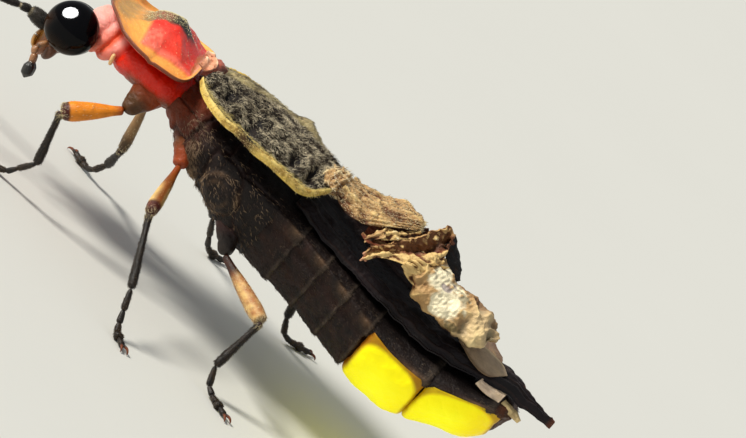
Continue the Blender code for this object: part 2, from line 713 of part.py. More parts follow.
def build_leg(name, joints):
    """Coxa, femur, tibia and tarsus, parted at planes that halve each bend."""
    root, hip, knee, ankle, heel, toe = joints
    coxa_path = straight(root, hip, 5)
    hip_plane = mitre(root, hip, knee)
    knee_plane = mitre(hip, knee, ankle)
    ankle_plane = mitre(knee, ankle, heel)

    def shifted(plane, by):
        return plane[0] + plane[1] * by, plane[1]

    coxa = loft(f"coxa_{name}", tube_rings(coxa_path, spread(COXA_RADII, 5), 12,
                                           end_plane=shifted(hip_plane, -GAP / 2)), "coxa")
    cut_by(coxa, [thorax_cutter("cut_thorax", "front" in name)])
    rings = tube_rings(straight(hip, knee, 7), spread(FEMUR_RADII, 7), 10,
                       shifted(hip_plane, GAP / 2), shifted(knee_plane, -GAP / 2))
    loft(f"femur_{name}", rings, "femur")
    rings = tube_rings(straight(knee, ankle, 5), spread(TIBIA_RADII, 5), 8,
                       shifted(knee_plane, GAP / 2), shifted(ankle_plane, -GAP / 2))
    loft(f"tibia_{name}", rings, "shin")
    build_tarsus(name, ankle, heel, toe, shifted(ankle_plane, GAP / 2))


def build_tarsus(name, ankle, heel, toe, start_plane):
    """Five tarsal pieces that widen towards their ends, the last lying on the floor, and two claws."""
    ankle, heel, toe = Vector(ankle), Vector(heel), Vector(toe)
    first = (heel - ankle).length
    whole = first + (toe - heel).length

    def at(t):
        d = t * whole
        return ankle.lerp(heel, d / first) if d <= first else heel.lerp(toe, (d - first) / (whole - first))

    stops, radii = [], []
    for i, (start, end) in enumerate(zip(TARSUS_JOINTS, TARSUS_JOINTS[1:])):
        base = np.interp(start, (0, 1), TARSUS_RADII)
        for share, width in ((0.10, 0.80), (0.80, 1.05)):
            stops.append(start + (end - start) * share)
            radii.append(base * width * (1.12 if i == 3 else 1.0))
    path = [at(t) for t in stops]
    rings = tube_rings(path, radii, 10, start_plane)
    tarsus = loft(f"tarsus_{name}", on_floor(rings), "shin")
    ahead = (toe - heel).normalized()
    side = ahead.cross(Vector((0, 0, 1))).normalized()
    claws = []
    for s in (-1, 1):
        base = toe - ahead * 0.16 + side * (s * 0.07)
        path = [base, toe + ahead * (CLAW_LENGTH * 0.5) + side * (s * 0.15),
                toe + ahead * CLAW_LENGTH + side * (s * 0.17) - Vector((0, 0, 0.09))]
        claw = loft(f"claw_{s}", on_floor(tube_rings(path, (0.09, 0.08, 0.03), 6)), "shin")
        claws.append(claw)
    joined(tarsus, claws)


def on_floor(rings):
    """Lifts whatever would sink below the floor onto it, which leaves a small flat sole."""
    return [[(p[0], p[1], max(p[2], 0.0)) for p in ring] for ring in rings]


def centre_on_floor():
    """Moves every piece so that the middle of the model's footprint is the origin."""
    objects = [o for o in bpy.context.scene.objects if o.type == "MESH"]
    corners = np.array([v.co for o in objects for v in o.data.vertices])
    low, high = corners.min(0), corners.max(0)
    middle = Vector(((low[0] + high[0]) / 2, (low[1] + high[1]) / 2, low[2]))
    for obj in objects:
        centre = sum((v.co for v in obj.data.vertices), Vector()) / len(obj.data.vertices)
        for vert in obj.data.vertices:
            vert.co -= centre
        obj.location = centre - middle
    print("front edge of the pronotum is at", [round(-c * 1000, 4) for c in middle], "mm")


def main():
    clear_scene()
    build_head()
    build_mouth()
    build_antennae()
    build_neck()
    build_prothorax()
    build_scutellum()
    build_trunk()
    build_hind_wings()
    build_wing_cases()
    for name, joints in LEG_JOINTS.items():
        build_leg(name, joints)
    centre_on_floor()


main()
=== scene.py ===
# The looks of a life-size firefly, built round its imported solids.
import math

import bmesh
import bpy
import numpy as np
from mathutils import Matrix, Vector


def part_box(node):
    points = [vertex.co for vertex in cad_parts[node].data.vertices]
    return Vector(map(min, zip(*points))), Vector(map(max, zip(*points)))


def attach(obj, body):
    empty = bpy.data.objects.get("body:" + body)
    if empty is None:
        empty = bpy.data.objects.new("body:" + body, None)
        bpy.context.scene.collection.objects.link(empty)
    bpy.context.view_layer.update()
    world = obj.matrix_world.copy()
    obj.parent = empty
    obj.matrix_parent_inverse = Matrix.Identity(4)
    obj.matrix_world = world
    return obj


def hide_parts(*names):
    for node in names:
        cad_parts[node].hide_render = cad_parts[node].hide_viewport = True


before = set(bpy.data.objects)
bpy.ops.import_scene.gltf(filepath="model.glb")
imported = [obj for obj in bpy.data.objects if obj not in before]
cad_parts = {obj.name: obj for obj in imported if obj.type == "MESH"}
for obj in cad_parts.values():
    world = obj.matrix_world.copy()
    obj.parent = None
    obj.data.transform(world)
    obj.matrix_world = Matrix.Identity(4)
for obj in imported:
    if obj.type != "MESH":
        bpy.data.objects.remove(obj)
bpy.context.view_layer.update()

# Every shape below is in millimetres: x runs back from the front edge of the head shield,
# the firefly's left side is -y and the floor is z = 0. The left eye says where that is in the frame.
leftEyeAt = np.array([-0.18, -0.74, 3.46])
eyeLow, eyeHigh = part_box("eye_left")
origin = (np.array(eyeLow) + np.array(eyeHigh)) / 2 - leftEyeAt * 0.001
turn = 2 * math.pi


# Numbers and curves.

def fromScreen(levels):
    # a colour picked as 0 to 255 levels, as the linear values that shaders use
    share = np.array(levels, float) / 255
    return np.where(share > 0.04045, ((share + 0.055) / 1.055) ** 2.4, share / 12.92)


def ease(x, low, high):
    # 0 at low and before, 1 at high and beyond, smooth between
    t = np.clip((x - low) / (high - low), 0, 1)
    return t * t * (3 - 2 * t)


def hump(x, middle, reach):
    # 1 at the middle, falling away like a bell
    return np.exp(-((x - middle) / reach) ** 2)


def shares(rows, columns):
    # how far each point of a grid is down its rows and across its columns, 0 to 1
    return np.meshgrid(np.linspace(0, 1, rows), np.linspace(0, 1, columns), indexing="ij")


def spot(points, x, y, reachX, reachY):
    # a soft round mark seen from above
    return np.exp(-((points[..., 0] - x) / reachX) ** 2 - ((points[..., 1] - y) / reachY) ** 2)


def through(knots, table, x):
    # cubic pieces through the rows of a table, with averaged slopes at the knots
    knots, table, x = np.asarray(knots, float), np.asarray(table, float), np.asarray(x, float)
    slopes = np.gradient(table, knots, axis=0)
    i = np.clip(np.searchsorted(knots, x, side="right") - 1, 0, len(knots) - 2)
    step = (knots[i + 1] - knots[i])[..., None]
    s = np.clip((x - knots[i])[..., None] / step, 0, 1)
    return (table[i] * (1 + 2 * s) * (1 - s) ** 2 + table[i + 1] * s * s * (3 - 2 * s)
            + step * slopes[i] * s * (1 - s) ** 2 - step * slopes[i + 1] * s * s * (1 - s))


def curve(points, count=None, at=None):
    # a smooth path through points that are evenly spaced along it
    at = np.linspace(0, 1, count) if at is None else at
    return through(np.linspace(0, 1, len(points)), points, at)


def waves(points, size, seed, octaves=3):
    # soft random values from about -1 to 1: sines along random directions, finer and weaker each time
    draw = np.random.default_rng(seed)
    total = np.zeros(points.shape[:-1])
    for octave in range(octaves):
        ways = draw.normal(size=(3, 6))
        ways *= turn * 1.9 ** octave / (size * np.linalg.norm(ways, axis=0))
        total += np.sin(points @ ways + draw.uniform(0, turn, 6)).sum(-1) / (3.5 * 1.8 ** octave)
    return total


def blots(points, size, seed):
    # the same, from about 0 to 1
    return 0.5 + 0.5 * waves(points, size, seed)


def creases(points, size, seed, stretch=(1, 1, 1)):
    # how a crushed sheet stands up: the distance to the nearest of the random points that lie one to
    # a cell of a grid, so it is 0 in each facet's middle and rises to sharp folds between facets
    flat = points / (np.array(stretch) * size)
    flat = flat + 0.25 * np.stack([waves(flat, 2.2, seed + k, 2) for k in range(3)], -1)
    cell = np.floor(flat)
    mixer = np.array([[127.1, 269.5, 113.5], [311.7, 183.3, 271.9], [74.7, 246.1, 124.6]])
    near = np.full(flat.shape[:-1], 9.0)
    for step in np.ndindex(3, 3, 3):
        corner = cell + np.array(step) - 1
        inside = np.sin(corner @ mixer + seed) * 43758.5453 % 1
        near = np.minimum(near, np.sum((corner + inside - flat) ** 2, axis=-1))
    return np.clip(np.sqrt(near), 0, 1.2)


# Surfaces and pieces.

def unit(vectors):
    return vectors / np.maximum(np.linalg.norm(vectors, axis=-1, keepdims=True), 1e-12)


def tubeGrid(path, radii, sides, guide=(0, 0, 1), flat=1.0):
    # rings square to a path: centre + radius * (cos * side + sin * lift)
    path, radii = np.asarray(path, float), np.asarray(radii, float)[:, None, None]
    ahead = unit(np.gradient(path, axis=0))
    side = unit(np.cross(ahead, guide))[:, None]
    lift = np.cross(side[:, 0], ahead)[:, None]
    angle = np.linspace(0, turn, sides, endpoint=False)[None, :, None]
    return path[:, None] + radii * (np.cos(angle) * side + flat * np.sin(angle) * lift)


def closedTube(rings):
    # rings joined by quads, with a fan to the middle of each end ring
    count, sides = rings.shape[:2]
    points = np.vstack([rings.reshape(-1, 3), rings[0].mean(0), rings[-1].mean(0)])
    here = np.arange(sides)
    after = (here + 1) % sides
    row = np.arange(count - 1)[:, None] * sides
    quads = np.stack([row + here, row + after, row + sides + after, row + sides + here], -1)
    last = (count - 1) * sides
    front = np.stack([after, here, np.full(sides, count * sides)], -1)
    back = np.stack([last + here, last + after, np.full(sides, count * sides + 1)], -1)
    return points, [quads.reshape(-1, 4), np.vstack([front, back])]


def onTube(values):
    # values of a tube's rings, with the two end points added
    flat = values.reshape(-1, *values.shape[2:])
    return np.concatenate([flat, values[0].mean(0)[None], values[-1].mean(0)[None]])


def closedSheet(top, bottom):
    # two grids of points joined round their edges
    rows, columns = top.shape[:2]
    points = np.vstack([top.reshape(-1, 3), bottom.reshape(-1, 3)])
    index = np.arange(rows * columns).reshape(rows, columns)
    over = np.stack([index[:-1, :-1], index[:-1, 1:], index[1:, 1:], index[1:, :-1]], -1).reshape(-1, 4)
    under = over[:, ::-1] + rows * columns
    rim = np.concatenate([index[0, :-1], index[:-1, -1], index[-1, :0:-1], index[:0:-1, 0]])
    ahead = np.roll(rim, -1)
    wall = np.stack([ahead, rim, rim + rows * columns, ahead + rows * columns], -1)
    return points, [over, under, wall]


def onSheet(values):
    flat = values.reshape(-1, *values.shape[2:])
    return np.concatenate([flat, flat])


def facing(grid, way=1):
    # unit normals of a grid of points, way is -1 where rows x columns points inwards
    return unit(np.cross(np.gradient(grid, axis=0), np.gradient(grid, axis=1))) * way


def tinted(count, base, *layers):
    # one colour a point: the base, then each (mask, colour) laid over it
    colour = np.tile(fromScreen(base), (count, 1))
    for mask, over in layers:
        colour += (fromScreen(over) - colour) * np.clip(mask, 0, 1)[:, None]
    return colour


def makePiece(name, shape, finish, tint, nodes=(), patches=None, sharp=None, outward=True):
    # a mesh from points and lists of faces, tinted point by point, riding the body
    points, faces = shape
    mesh = bpy.data.meshes.new(name)
    loops = np.concatenate([f.ravel() for f in faces]).astype(np.int32)
    sizes = np.concatenate([np.full(len(f), f.shape[1]) for f in faces])
    starts = np.concatenate([[0], np.cumsum(sizes)[:-1]]).astype(np.int32)
    mesh.vertices.add(len(points))
    mesh.vertices.foreach_set("co", (origin + points * 0.001).astype(np.float32).ravel())
    mesh.loops.add(len(loops))
    mesh.loops.foreach_set("vertex_index", loops)
    mesh.polygons.add(len(sizes))
    mesh.polygons.foreach_set("loop_start", starts)
    mesh.update(calc_edges=True)
    colours = mesh.color_attributes.new(name="tint", type="FLOAT_COLOR", domain="POINT")
    colours.data.foreach_set("color", np.column_stack([tint, np.ones(len(tint))]).astype(np.float32).ravel())
    if patches is not None:
        layer = mesh.uv_layers.new(name="OFBake")
        layer.data.foreach_set("uv", patches[loops].astype(np.float32).ravel())
    if outward:
        turner = bmesh.new()
        turner.from_mesh(mesh)
        bmesh.ops.recalc_face_normals(turner, faces=turner.faces)
        turner.to_mesh(mesh)
        turner.free()
    mesh.shade_smooth()
    if sharp:
        mesh.set_sharp_from_angle(angle=math.radians(sharp))
    mesh.materials.append(finish)
    piece = bpy.data.objects.new(name, mesh)
    bpy.context.scene.collection.objects.link(piece)
    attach(piece, "root")
    if nodes:
        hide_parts(*nodes)
    return piece


# Hairs.

def scatter(grid, count, seed, way=1, share=None):
    # roots spread over a grid of points by area (times share, one value a point of the grid)
    draw = np.random.default_rng(seed)
    right = grid[:-1, 1:] - grid[:-1, :-1]
    down = grid[1:, :-1] - grid[:-1, :-1]
    weight = np.linalg.norm(np.cross(down, right), axis=-1)
    if share is not None:
        weight = weight * np.clip(share[:-1, :-1], 0, None)
    rows, columns = weight.shape
    picked = draw.choice(weight.size, count, p=weight.ravel() / weight.sum())
    r, c = picked // columns, picked % columns
    a, b = draw.random((2, count, 1))
    at = grid[r, c] + down[r, c] * a + right[r, c] * b
    out = unit(np.cross(down[r, c], right[r, c])) * way
    return {"at": at, "out": out, "along": unit(down[r, c]), "draw": draw,
            "u": (r + a[:, 0]) / rows, "v": (c + b[:, 0]) / columns}


def hairs(name, roots, lie, length, radius, lift, tint, spread=0.35):
    # bent spikes: a ring of three at the root, one half way and a tip, each hair lying along lie
    draw, at, out = roots["draw"], roots["at"], roots["out"]
    count = len(at)
    way = unit(lie + draw.normal(0, spread, (count, 3)))
    way = unit(way - out * np.sum(way * out, -1, keepdims=True))
    length = length * draw.uniform(0.65, 1.2, (count, 1))
    lift = lift * draw.uniform(0.5, 1.4, (count, 1))
    first = unit(way + out * lift)
    second = unit(way + out * lift * 0.15)
    side = unit(np.cross(first, out))
    up = np.cross(side, first)
    angle = np.arange(3) * turn / 3
    ring = np.cos(angle)[None, :, None] * side[:, None] + np.sin(angle)[None, :, None] * up[:, None]
    middle = at + first * length * 0.5
    rooted = (at - out * 0.012)[:, None] + ring * radius
    half = middle[:, None] + ring * radius * 0.7
    tip = (middle + second * length * 0.5)[:, None]
    points = np.concatenate([rooted, half, tip], axis=1).reshape(-1, 3)
    points[:, 2] = np.maximum(points[:, 2], 0.004)
    base = np.arange(count)[:, None] * 7
    quads = np.stack([base + np.array([k, (k + 1) % 3, 3 + (k + 1) % 3, 3 + k]) for k in range(3)], 1)
    ends = np.stack([base + np.array([3 + k, 3 + (k + 1) % 3, 6]) for k in range(3)], 1)
    foot = base + np.array([2, 1, 0])
    patch = np.zeros((7, 2))
    patch[:3] = np.stack([np.cos(angle), np.sin(angle)], 1) * 0.0015
    patch[3:6] = patch[:3] * 0.5
    spread01 = np.stack([roots["u"], roots["v"]], 1) * 0.98 + 0.01
    patches = (spread01[:, None] + patch).reshape(-1, 2)
    colours = np.repeat(tint * draw.uniform(0.7, 1.25, (count, 1)), 7, axis=0)
    faces = [quads.reshape(-1, 4), np.vstack([ends.reshape(-1, 3), foot])]
    makePiece(name, (points, faces), finishes["hair"], colours, patches=patches, outward=False)


# Materials.

class Value:
    # a number in a material: each operator adds its Math node
    def __init__(self, board, socket):
        self.board, self.socket = board, socket

    def join(self, operation, *others):
        made = self.board.node("ShaderNodeMath", {"operation": operation}, dict(enumerate(others)))
        return Value(self.board, made.outputs[0])

    def __add__(self, other):
        return self.join("ADD", self, other)

    def __sub__(self, other):
        return self.join("SUBTRACT", self, other)

    def __rsub__(self, other):
        return self.join("SUBTRACT", other, self)

    def __mul__(self, other):
        return self.join("MULTIPLY", self, other)

    __radd__ = __add__
    __rmul__ = __mul__


class Board:
    # a material's nodes, with the place on the piece in millimetres and its tint at hand
    def __init__(self, name, **fixed):
        self.material = bpy.data.materials.new(name)
        self.material.use_nodes = True
        self.tree = self.material.node_tree
        self.shader = self.tree.nodes["Principled BSDF"]
        for key, value in fixed.items():
            self.shader.inputs[key.replace("_", " ")].default_value = value
        spotOn = self.node("ShaderNodeTexCoord").outputs["Object"]
        scaled = self.node("ShaderNodeVectorMath", {"operation": "SCALE"}, {0: spotOn, "Scale": 1000.0})
        self.place = scaled.outputs[0]
        self.tint = self.node("ShaderNodeAttribute", {"attribute_name": "tint"}).outputs["Color"]

    def node(self, kind, settings=None, inputs=None):
        made = self.tree.nodes.new(kind)
        for key, value in (settings or {}).items():
            setattr(made, key, value)
        for key, value in (inputs or {}).items():
            self.feed(made.inputs[key], value)
        return made

    def feed(self, socket, value):
        if isinstance(value, Value):
            value = value.socket
        if isinstance(value, bpy.types.NodeSocket):
            self.tree.links.new(value, socket)
        else:
            socket.default_value = value

    def noise(self, size, detail=3.0, rough=0.55):
        # cloud noise whose blotches are about size millimetres across
        made = self.node("ShaderNodeTexNoise", {}, {
            "Vector": self.place, "Scale": 1 / size, "Detail": detail, "Roughness": rough})
        return Value(self, made.outputs[0])

    def cells(self, size):
        # the distance to the middle of a cell about size millimetres across
        made = self.node("ShaderNodeTexVoronoi", {}, {"Vector": self.place, "Scale": 1 / size})
        return Value(self, made.outputs["Distance"])

    def scaled(self, colour, share):
        # a colour made lighter or darker
        made = self.node("ShaderNodeVectorMath", {"operation": "SCALE"}, {0: colour, "Scale": share})
        return made.outputs[0]

    def bumped(self, height, depth, strength=1.0):
        # height 0 to 1 stands for depth millimetres
        made = self.node("ShaderNodeBump", {}, {
            "Height": height, "Distance": depth * 0.001, "Strength": strength})
        self.feed(self.shader.inputs["Normal"], made.outputs[0])

    def finish(self, colour, roughness):
        self.feed(self.shader.inputs["Base Color"], colour)
        self.feed(self.shader.inputs["Roughness"], roughness)
        return self.material


def shellFinish(name, rough, mottle, mottleSize, grainSize, grainDepth, **fixed):
    # colour = tint * (1 + mottle * cloud noise); height = fine grain;
    # roughness = rough + a quarter of the grain, counted from its middle
    board = Board(name, **fixed)
    cloud = board.noise(mottleSize, 4.0)
    grain = board.noise(grainSize, 4.0, 0.6)
    board.bumped(grain, grainDepth)
    shade = 1 + (cloud - 0.5) * 2 * mottle
    return board.finish(board.scaled(board.tint, shade), rough + (grain - 0.5) * 0.25)


finishes = {
    "head": shellFinish("headShell", 0.38, 0.35, 0.25, 0.05, 0.02, Coat_Weight=0.25),
    "feeler": shellFinish("feelerShell", 0.42, 0.45, 0.12, 0.03, 0.014, Specular_IOR_Level=0.25),
    "soft": shellFinish("softSkin", 0.42, 0.22, 0.45, 0.07, 0.030, Specular_IOR_Level=0.35,
                        Subsurface_Weight=0.25, Subsurface_Radius=(1.0, 0.3, 0.2),
                        Subsurface_Scale=0.0002),
    "shield": shellFinish("shieldShell", 0.36, 0.20, 0.30, 0.05, 0.02, Coat_Weight=0.2,
                          Subsurface_Weight=0.15, Subsurface_Radius=(1.0, 0.35, 0.15),
                          Subsurface_Scale=0.0001),
    "body": shellFinish("bodyShell", 0.50, 0.55, 0.30, 0.05, 0.035, Specular_IOR_Level=0.22),
    "case": shellFinish("caseLeather", 0.50, 0.40, 0.20, 0.045, 0.030, Specular_IOR_Level=0.25),
    "crumpled": shellFinish("crumpledLeather", 0.56, 0.35, 0.16, 0.045, 0.022, Specular_IOR_Level=0.30),
    "film": shellFinish("wingFilm", 0.46, 0.35, 0.35, 0.06, 0.020, Specular_IOR_Level=0.25),
    "leg": shellFinish("legShell", 0.40, 0.35, 0.15, 0.04, 0.018, Specular_IOR_Level=0.35),
    "hair": shellFinish("hairHorn", 0.38, 0.25, 0.20, 0.30, 0.002, Specular_IOR_Level=0.3),
}


def eyeFinish():
    # black gloss; height = rows of tiny lenses from cell noise
    board = Board("eyeGloss", Specular_IOR_Level=0.10)
    lens = board.cells(0.032)
    board.bumped(1 - lens, 0.0010, 0.3)
    return board.finish(board.scaled(board.tint, 0.6 + board.noise(0.4) * 0.8), 0.07)


def lanternFinish():
    # clear yellow skin over a pale layer: colour = tint with faint blotches, and a soft glow of its own
    board = Board("lanternSkin", Subsurface_Weight=0.3, Subsurface_Radius=(1.0, 0.9, 0.1),
                  Subsurface_Scale=0.0002, Specular_IOR_Level=0.2, Emission_Strength=0.36)
    blotch = board.noise(0.5, 3.0)
    fine = board.noise(0.06, 3.0)
    board.bumped(fine, 0.012)
    colour = board.scaled(board.tint, 0.92 + blotch * 0.16)
    board.feed(board.shader.inputs["Emission Color"], colour)
    return board.finish(colour, 0.34 + fine * 0.1)


finishes["eye"] = eyeFinish()
finishes["lantern"] = lanternFinish()
print("finishes:", len(finishes))


# The head.

head = {
    "centre": (-0.20, 0.0, 3.42), "size": (0.50, 0.62, 0.50),
    "eyeSize": (0.63, 0.49, 0.62), "lean": 15.0,
    # eyeLow is a painted reflection on the lower part of each eye
    "eyeBlack": (5, 5, 7), "eyeLow": (44, 28, 12),
    "brown": (104, 58, 24), "orange": (160, 92, 38), "dark": (30, 16, 10), "red": (110, 16, 8),
    "amber": (200, 140, 56), "club": (16, 14, 10), "tan": (150, 104, 66),
}


def ballGrid(centre, size, rows, around, pole=0.02):
    # an ellipsoid with its poles on the x axis, front pole first, open by the angle pole at each
    a = np.linspace(pole, math.pi - pole, rows)[:, None]
    b = np.linspace(0, turn, around, endpoint=False)[None]
    way = np.stack([-np.cos(a) + 0 * b, np.sin(a) * np.cos(b), np.sin(a) * np.sin(b)], -1)
    return np.array(centre) + np.array(size) * way, way


eyes = []


def tipped(points):
    # the whole head leans its right side down, about the middle of the left eye
    x, y, z = np.moveaxis(points - leftEyeAt, -1, 0)
    lean = math.radians(head["lean"])
    y, z = y * math.cos(lean) + z * math.sin(lean), z * math.cos(lean) - y * math.sin(lean)
    return np.stack([x, y, z], -1) + leftEyeAt


def makeEyes():
    for side, s in (("left", -1), ("right", 1)):
        centre = leftEyeAt * (1, -s, 1)
        grid, way = ballGrid(centre, head["eyeSize"], 72, 96)
        grid, ways = tipped(grid), onTube(way)
        # the eyeLow colour laid over the lower part of the globe is a painted reflection
        tint = tinted(len(ways), head["eyeBlack"], (ease(-ways[:, 2], 0.45, 1.0) * 0.8, head["eyeLow"]),
                      (ease(-ways[:, 0], 0.55, 0.95) * ease(-ways[:, 2], -0.2, 0.5) * 0.7, (58, 34, 16)))
        eyes.append(makePiece("eye_globe_" + side, closedTube(grid), finishes["eye"], tint,
                              ["eye_" + side]))
        # the rim where the eye meets the head: a thin ring sunk in the globe, pale in front, where the pale
        # is a painted highlight
        around = np.linspace(0, turn, 121)
        ring = centre + np.stack([0.570 * np.cos(around), 0 * around - s * 0.22, 0.560 * np.sin(around)], 1)
        rim = tubeGrid(ring, np.full(121, 0.030), 10, guide=(0, 1, 0))
        points, faces = closedTube(tipped(rim))
        # front: the rim's front and upper part, where the pale painted highlight lies
        front = ease(centre[0] - points[:, 0], 0.38, 0.54) * ease(points[:, 2], 3.16, 3.36)
        tint = tinted(len(points), (22, 15, 12), (front, (176, 168, 146)),
                      (ease(points[:, 0] - centre[0], 0.3, 0.6), (74, 16, 10)))
        makePiece("eye_rim_" + side, (points, faces), finishes["head"], tint)


def makeHead():
    # head capsule: an ellipsoid pushed out into a muzzle below and two sockets in front
    grid, way = ballGrid(head["centre"], head["size"], 90, 120)
    muzzle = unit(np.array([-0.30, 0.0, -0.954]))
    push = np.exp((way @ muzzle - 1) / 0.21)
    grid = grid + push[..., None] * muzzle * 0.52
    for s in (-1, 1):
        socket = unit(np.array([-0.93, s * 0.42, -0.30]))
        grid = grid + np.exp((way @ socket - 1) / 0.022)[..., None] * socket * 0.10
    groove = np.exp(-(way[..., 1] / 0.06) ** 2) * ease(way[..., 2], -0.3, 0.3)
    grid = grid - way * (groove * 0.03)[..., None]
    grid = tipped(grid + way * (0.008 * waves(grid, 0.3, 5))[..., None])
    ways = onTube(way)
    tint = tinted(len(ways), head["brown"],
                  (ease(ways[:, 2], 0.1, 0.6), head["dark"]),
                  (np.exp((ways @ muzzle - 1) / 0.16), head["orange"]),
                  (ease(-ways[:, 0], 0.45, 0.8) * ease(-ways[:, 2], 0.1, 0.5) * 0.8, head["amber"]),
                  (ease(ways[:, 0], 0.2, 0.7) * ease(-ways[:, 2], -0.5, 0.3), head["red"]))
    makePiece("head_capsule", closedTube(grid), finishes["head"], tint, ["head"])
    # labrum: a rounded, slightly hollowed plate
    path = curve([(-0.60, 0, 3.06), (-0.67, 0, 2.90), (-0.68, 0, 2.76), (-0.63, 0, 2.63),
                  (-0.54, 0, 2.55)], 24)
    t = np.linspace(0, 1, 24)
    plate = tubeGrid(path, 0.25 * (1 - t ** 6) ** 0.5 * (0.85 + 0.15 * t) + 0.01, 28, (0, 0, 1), 0.26)
    shape = closedTube(tipped(plate))
    tint = tinted(len(shape[0]), head["amber"], (ease(shape[0][:, 2], 2.5, 2.8) * 0.5, head["orange"]))
    makePiece("labrum_plate", shape, finishes["head"], tint, ["labrum"])


def makeMouth():
    for side, s in (("left", -1), ("right", 1)):
        path = curve([(-0.20, s * 0.30, 2.92), (-0.20, s * 0.32, 2.72), (-0.22, s * 0.26, 2.58),
                      (-0.30, s * 0.14, 2.53)], 30)
        t = np.linspace(0, 1, 30)
        jaw = tipped(tubeGrid(path, 0.13 * (1 - t ** 2.2) + 0.006, 14, (1, 0, 0)))
        shape = closedTube(jaw)
        along = onTube(np.repeat(t[:, None], 14, 1))
        tint = tinted(len(shape[0]), head["brown"], (along ** 2 * 0.8, head["dark"]))
        makePiece("jaw_" + side, shape, finishes["head"], tint, ["mandible_" + side])
        # four palp joints: pale narrow ones, then the dark swollen club
        path = curve([(-0.38, s * 0.44, 2.84), (-0.47, s * 0.50, 2.68), (-0.48, s * 0.54, 2.54),
                      (-0.40, s * 0.56, 2.40), (-0.33, s * 0.57, 2.22), (-0.28, s * 0.57, 2.04),
                      (-0.245, s * 0.56, 1.91)], 80)
        t = np.linspace(0, 1, 80)
        joint = np.abs(np.sin(np.pi * np.interp(t, (0, .22, .44, .60, 1), (0, 1, 2, 3, 4)))) ** 0.45
        thick = np.interp(t, (0, .3, .55, .70, .88, 1), (.070, .080, .075, .145, .130, .03))
        palp = tipped(tubeGrid(path, thick * (0.55 + 0.45 * joint), 18, (1, 0, 0)))
        shape = closedTube(palp)
        along = onTube(np.repeat(t[:, None], 18, 1))
        tint = tinted(len(shape[0]), head["tan"], (ease(along, 0.56, 0.64), head["club"]),
                      (hump(along, 0.20, 0.05) * 0.7, head["dark"]))
        makePiece("palp_joints_" + side, shape, finishes["head"], tint, ["palp_" + side])


feelers = {
    "length": 5.4, "joints": (1.05, 0.45, 1, 1, 1, 1, 1, 1, 1, 1, 1),
    # how far each has sunk below its root, at some shares of its length
    "sinkAt": (0, 0.10, 0.23, 0.40, 0.70, 1), "sink": (0, 0.0, 0.23, 0.48, 0.75, 0.85),
    "root": (-0.62, 0.26, 3.12),
    # pale marks the ends of each joint: partly pale joint skin, partly painted highlight
    "black": (14, 12, 11), "grey": (70, 62, 52), "pale": (176, 162, 132),
    "hairs": 1500,
}


def makeFeelers():
    # eleven joints along a gentle sweep, each narrow at its root and widest near its end
    ends = np.cumsum((0,) + feelers["joints"])
    ends = ends / ends[-1]
    for side, s in (("left", -1), ("right", 1)):
        t = np.unique(np.concatenate([np.linspace(a, b, 12) for a, b in zip(ends[:-1], ends[1:])]))
        rootX, rootY, rootZ = feelers["root"]
        sink = through(feelers["sinkAt"], np.array(feelers["sink"])[:, None], t)[:, 0]
        path = np.stack([rootX - feelers["length"] * t, s * (rootY + 2.3 * t ** 1.3), rootZ - sink], 1)
        joint = np.clip(np.searchsorted(ends, t, side="right") - 1, 0, 10)
        share = (t - ends[joint]) / (ends[joint + 1] - ends[joint])
        form = 0.62 + 0.38 * np.sin(np.pi * np.clip(share, 0, 1) ** 0.8) ** 0.7
        size = np.where(joint == 0, 0.225, np.where(joint == 1, 0.12, 0.108 - 0.005 * joint))
        size = size * form * np.where(t > 0.985, np.sqrt(np.clip((1 - t) / 0.015, 0.02, 1)), 1)
        grid = tipped(tubeGrid(path, size, 20, (0, 0, 1), 0.8))
        shape = closedTube(grid)
        part = onTube(np.repeat(share[:, None], 20, 1))
        # the pale at both ends of each joint is partly pale joint skin and partly painted highlight
        tint = tinted(len(shape[0]), feelers["black"],
                      (0.35 * blots(shape[0], 0.4, 9), feelers["grey"]),
                      (0.75 * (hump(part, 0, 0.05) + hump(part, 1, 0.05)), feelers["pale"]))
        makePiece("antenna_joints_" + side, shape, finishes["feeler"], tint, ["antenna_" + side])
        roots = scatter(grid, feelers["hairs"], 20 + s)
        colour = tinted(len(roots["at"]), (70, 62, 50))
        hairs("antenna_down_" + side, roots, roots["along"], 0.06, 0.004, 0.6, colour)


makeEyes()
makeHead()
makeMouth()
makeFeelers()
print("head: eyes, capsule, mouth and feelers")


# Neck and prothorax.

neck = {
    # x, half width, top, side edge, underside
    "lines": [(-0.10, 0.50, 4.08, 3.58, 3.16), (0.25, 0.62, 4.28, 3.62, 3.12), (0.55, 0.68, 4.30, 3.66, 3.18),
              (0.84, 0.74, 4.26, 3.74, 3.28), (0.98, 0.80, 4.24, 3.80, 3.32), (1.30, 1.02, 4.22, 3.90, 3.30),
              (1.70, 1.30, 4.34, 4.02, 3.34), (2.10, 1.42, 4.42, 4.04, 3.38), (2.45, 1.36, 4.44, 4.02, 3.40),
              (2.72, 1.10, 4.40, 3.98, 3.46)],
    "blush": (246, 176, 164), "pink": (244, 134, 116), "salmon": (226, 84, 44), "deep": (218, 32, 0),
    "rose": (214, 112, 84), "brown": (118, 54, 16), "cream": (250, 200, 140),
}


def trunkRings(lines, x, angles, swell=1.0, lowShare=1.0):
    # cross-sections: a flatter arch above the side edge and a deeper one below
    lines = np.asarray(lines, float)
    width, top, edge, low = (column[:, None] for column in through(lines[:, 0], lines[:, 1:], x).T)
    swell = np.broadcast_to(np.asarray(swell, float), x.shape)[:, None]
    lowShare = np.broadcast_to(np.asarray(lowShare, float), x.shape)[:, None]
    across, up = np.cos(angles)[None], np.sin(angles)[None]
    across = np.sign(across) * np.abs(across) ** 0.85
    tuck = 1 - (1 - lowShare) * ease(-up, 0.06, 0.16)
    across = across * tuck
    rise = np.where(up > 0, up * (top - edge), up * (edge - low) * tuck) * swell
    return np.stack([x[:, None] + 0 * across, across * width * swell, edge + rise], -1)


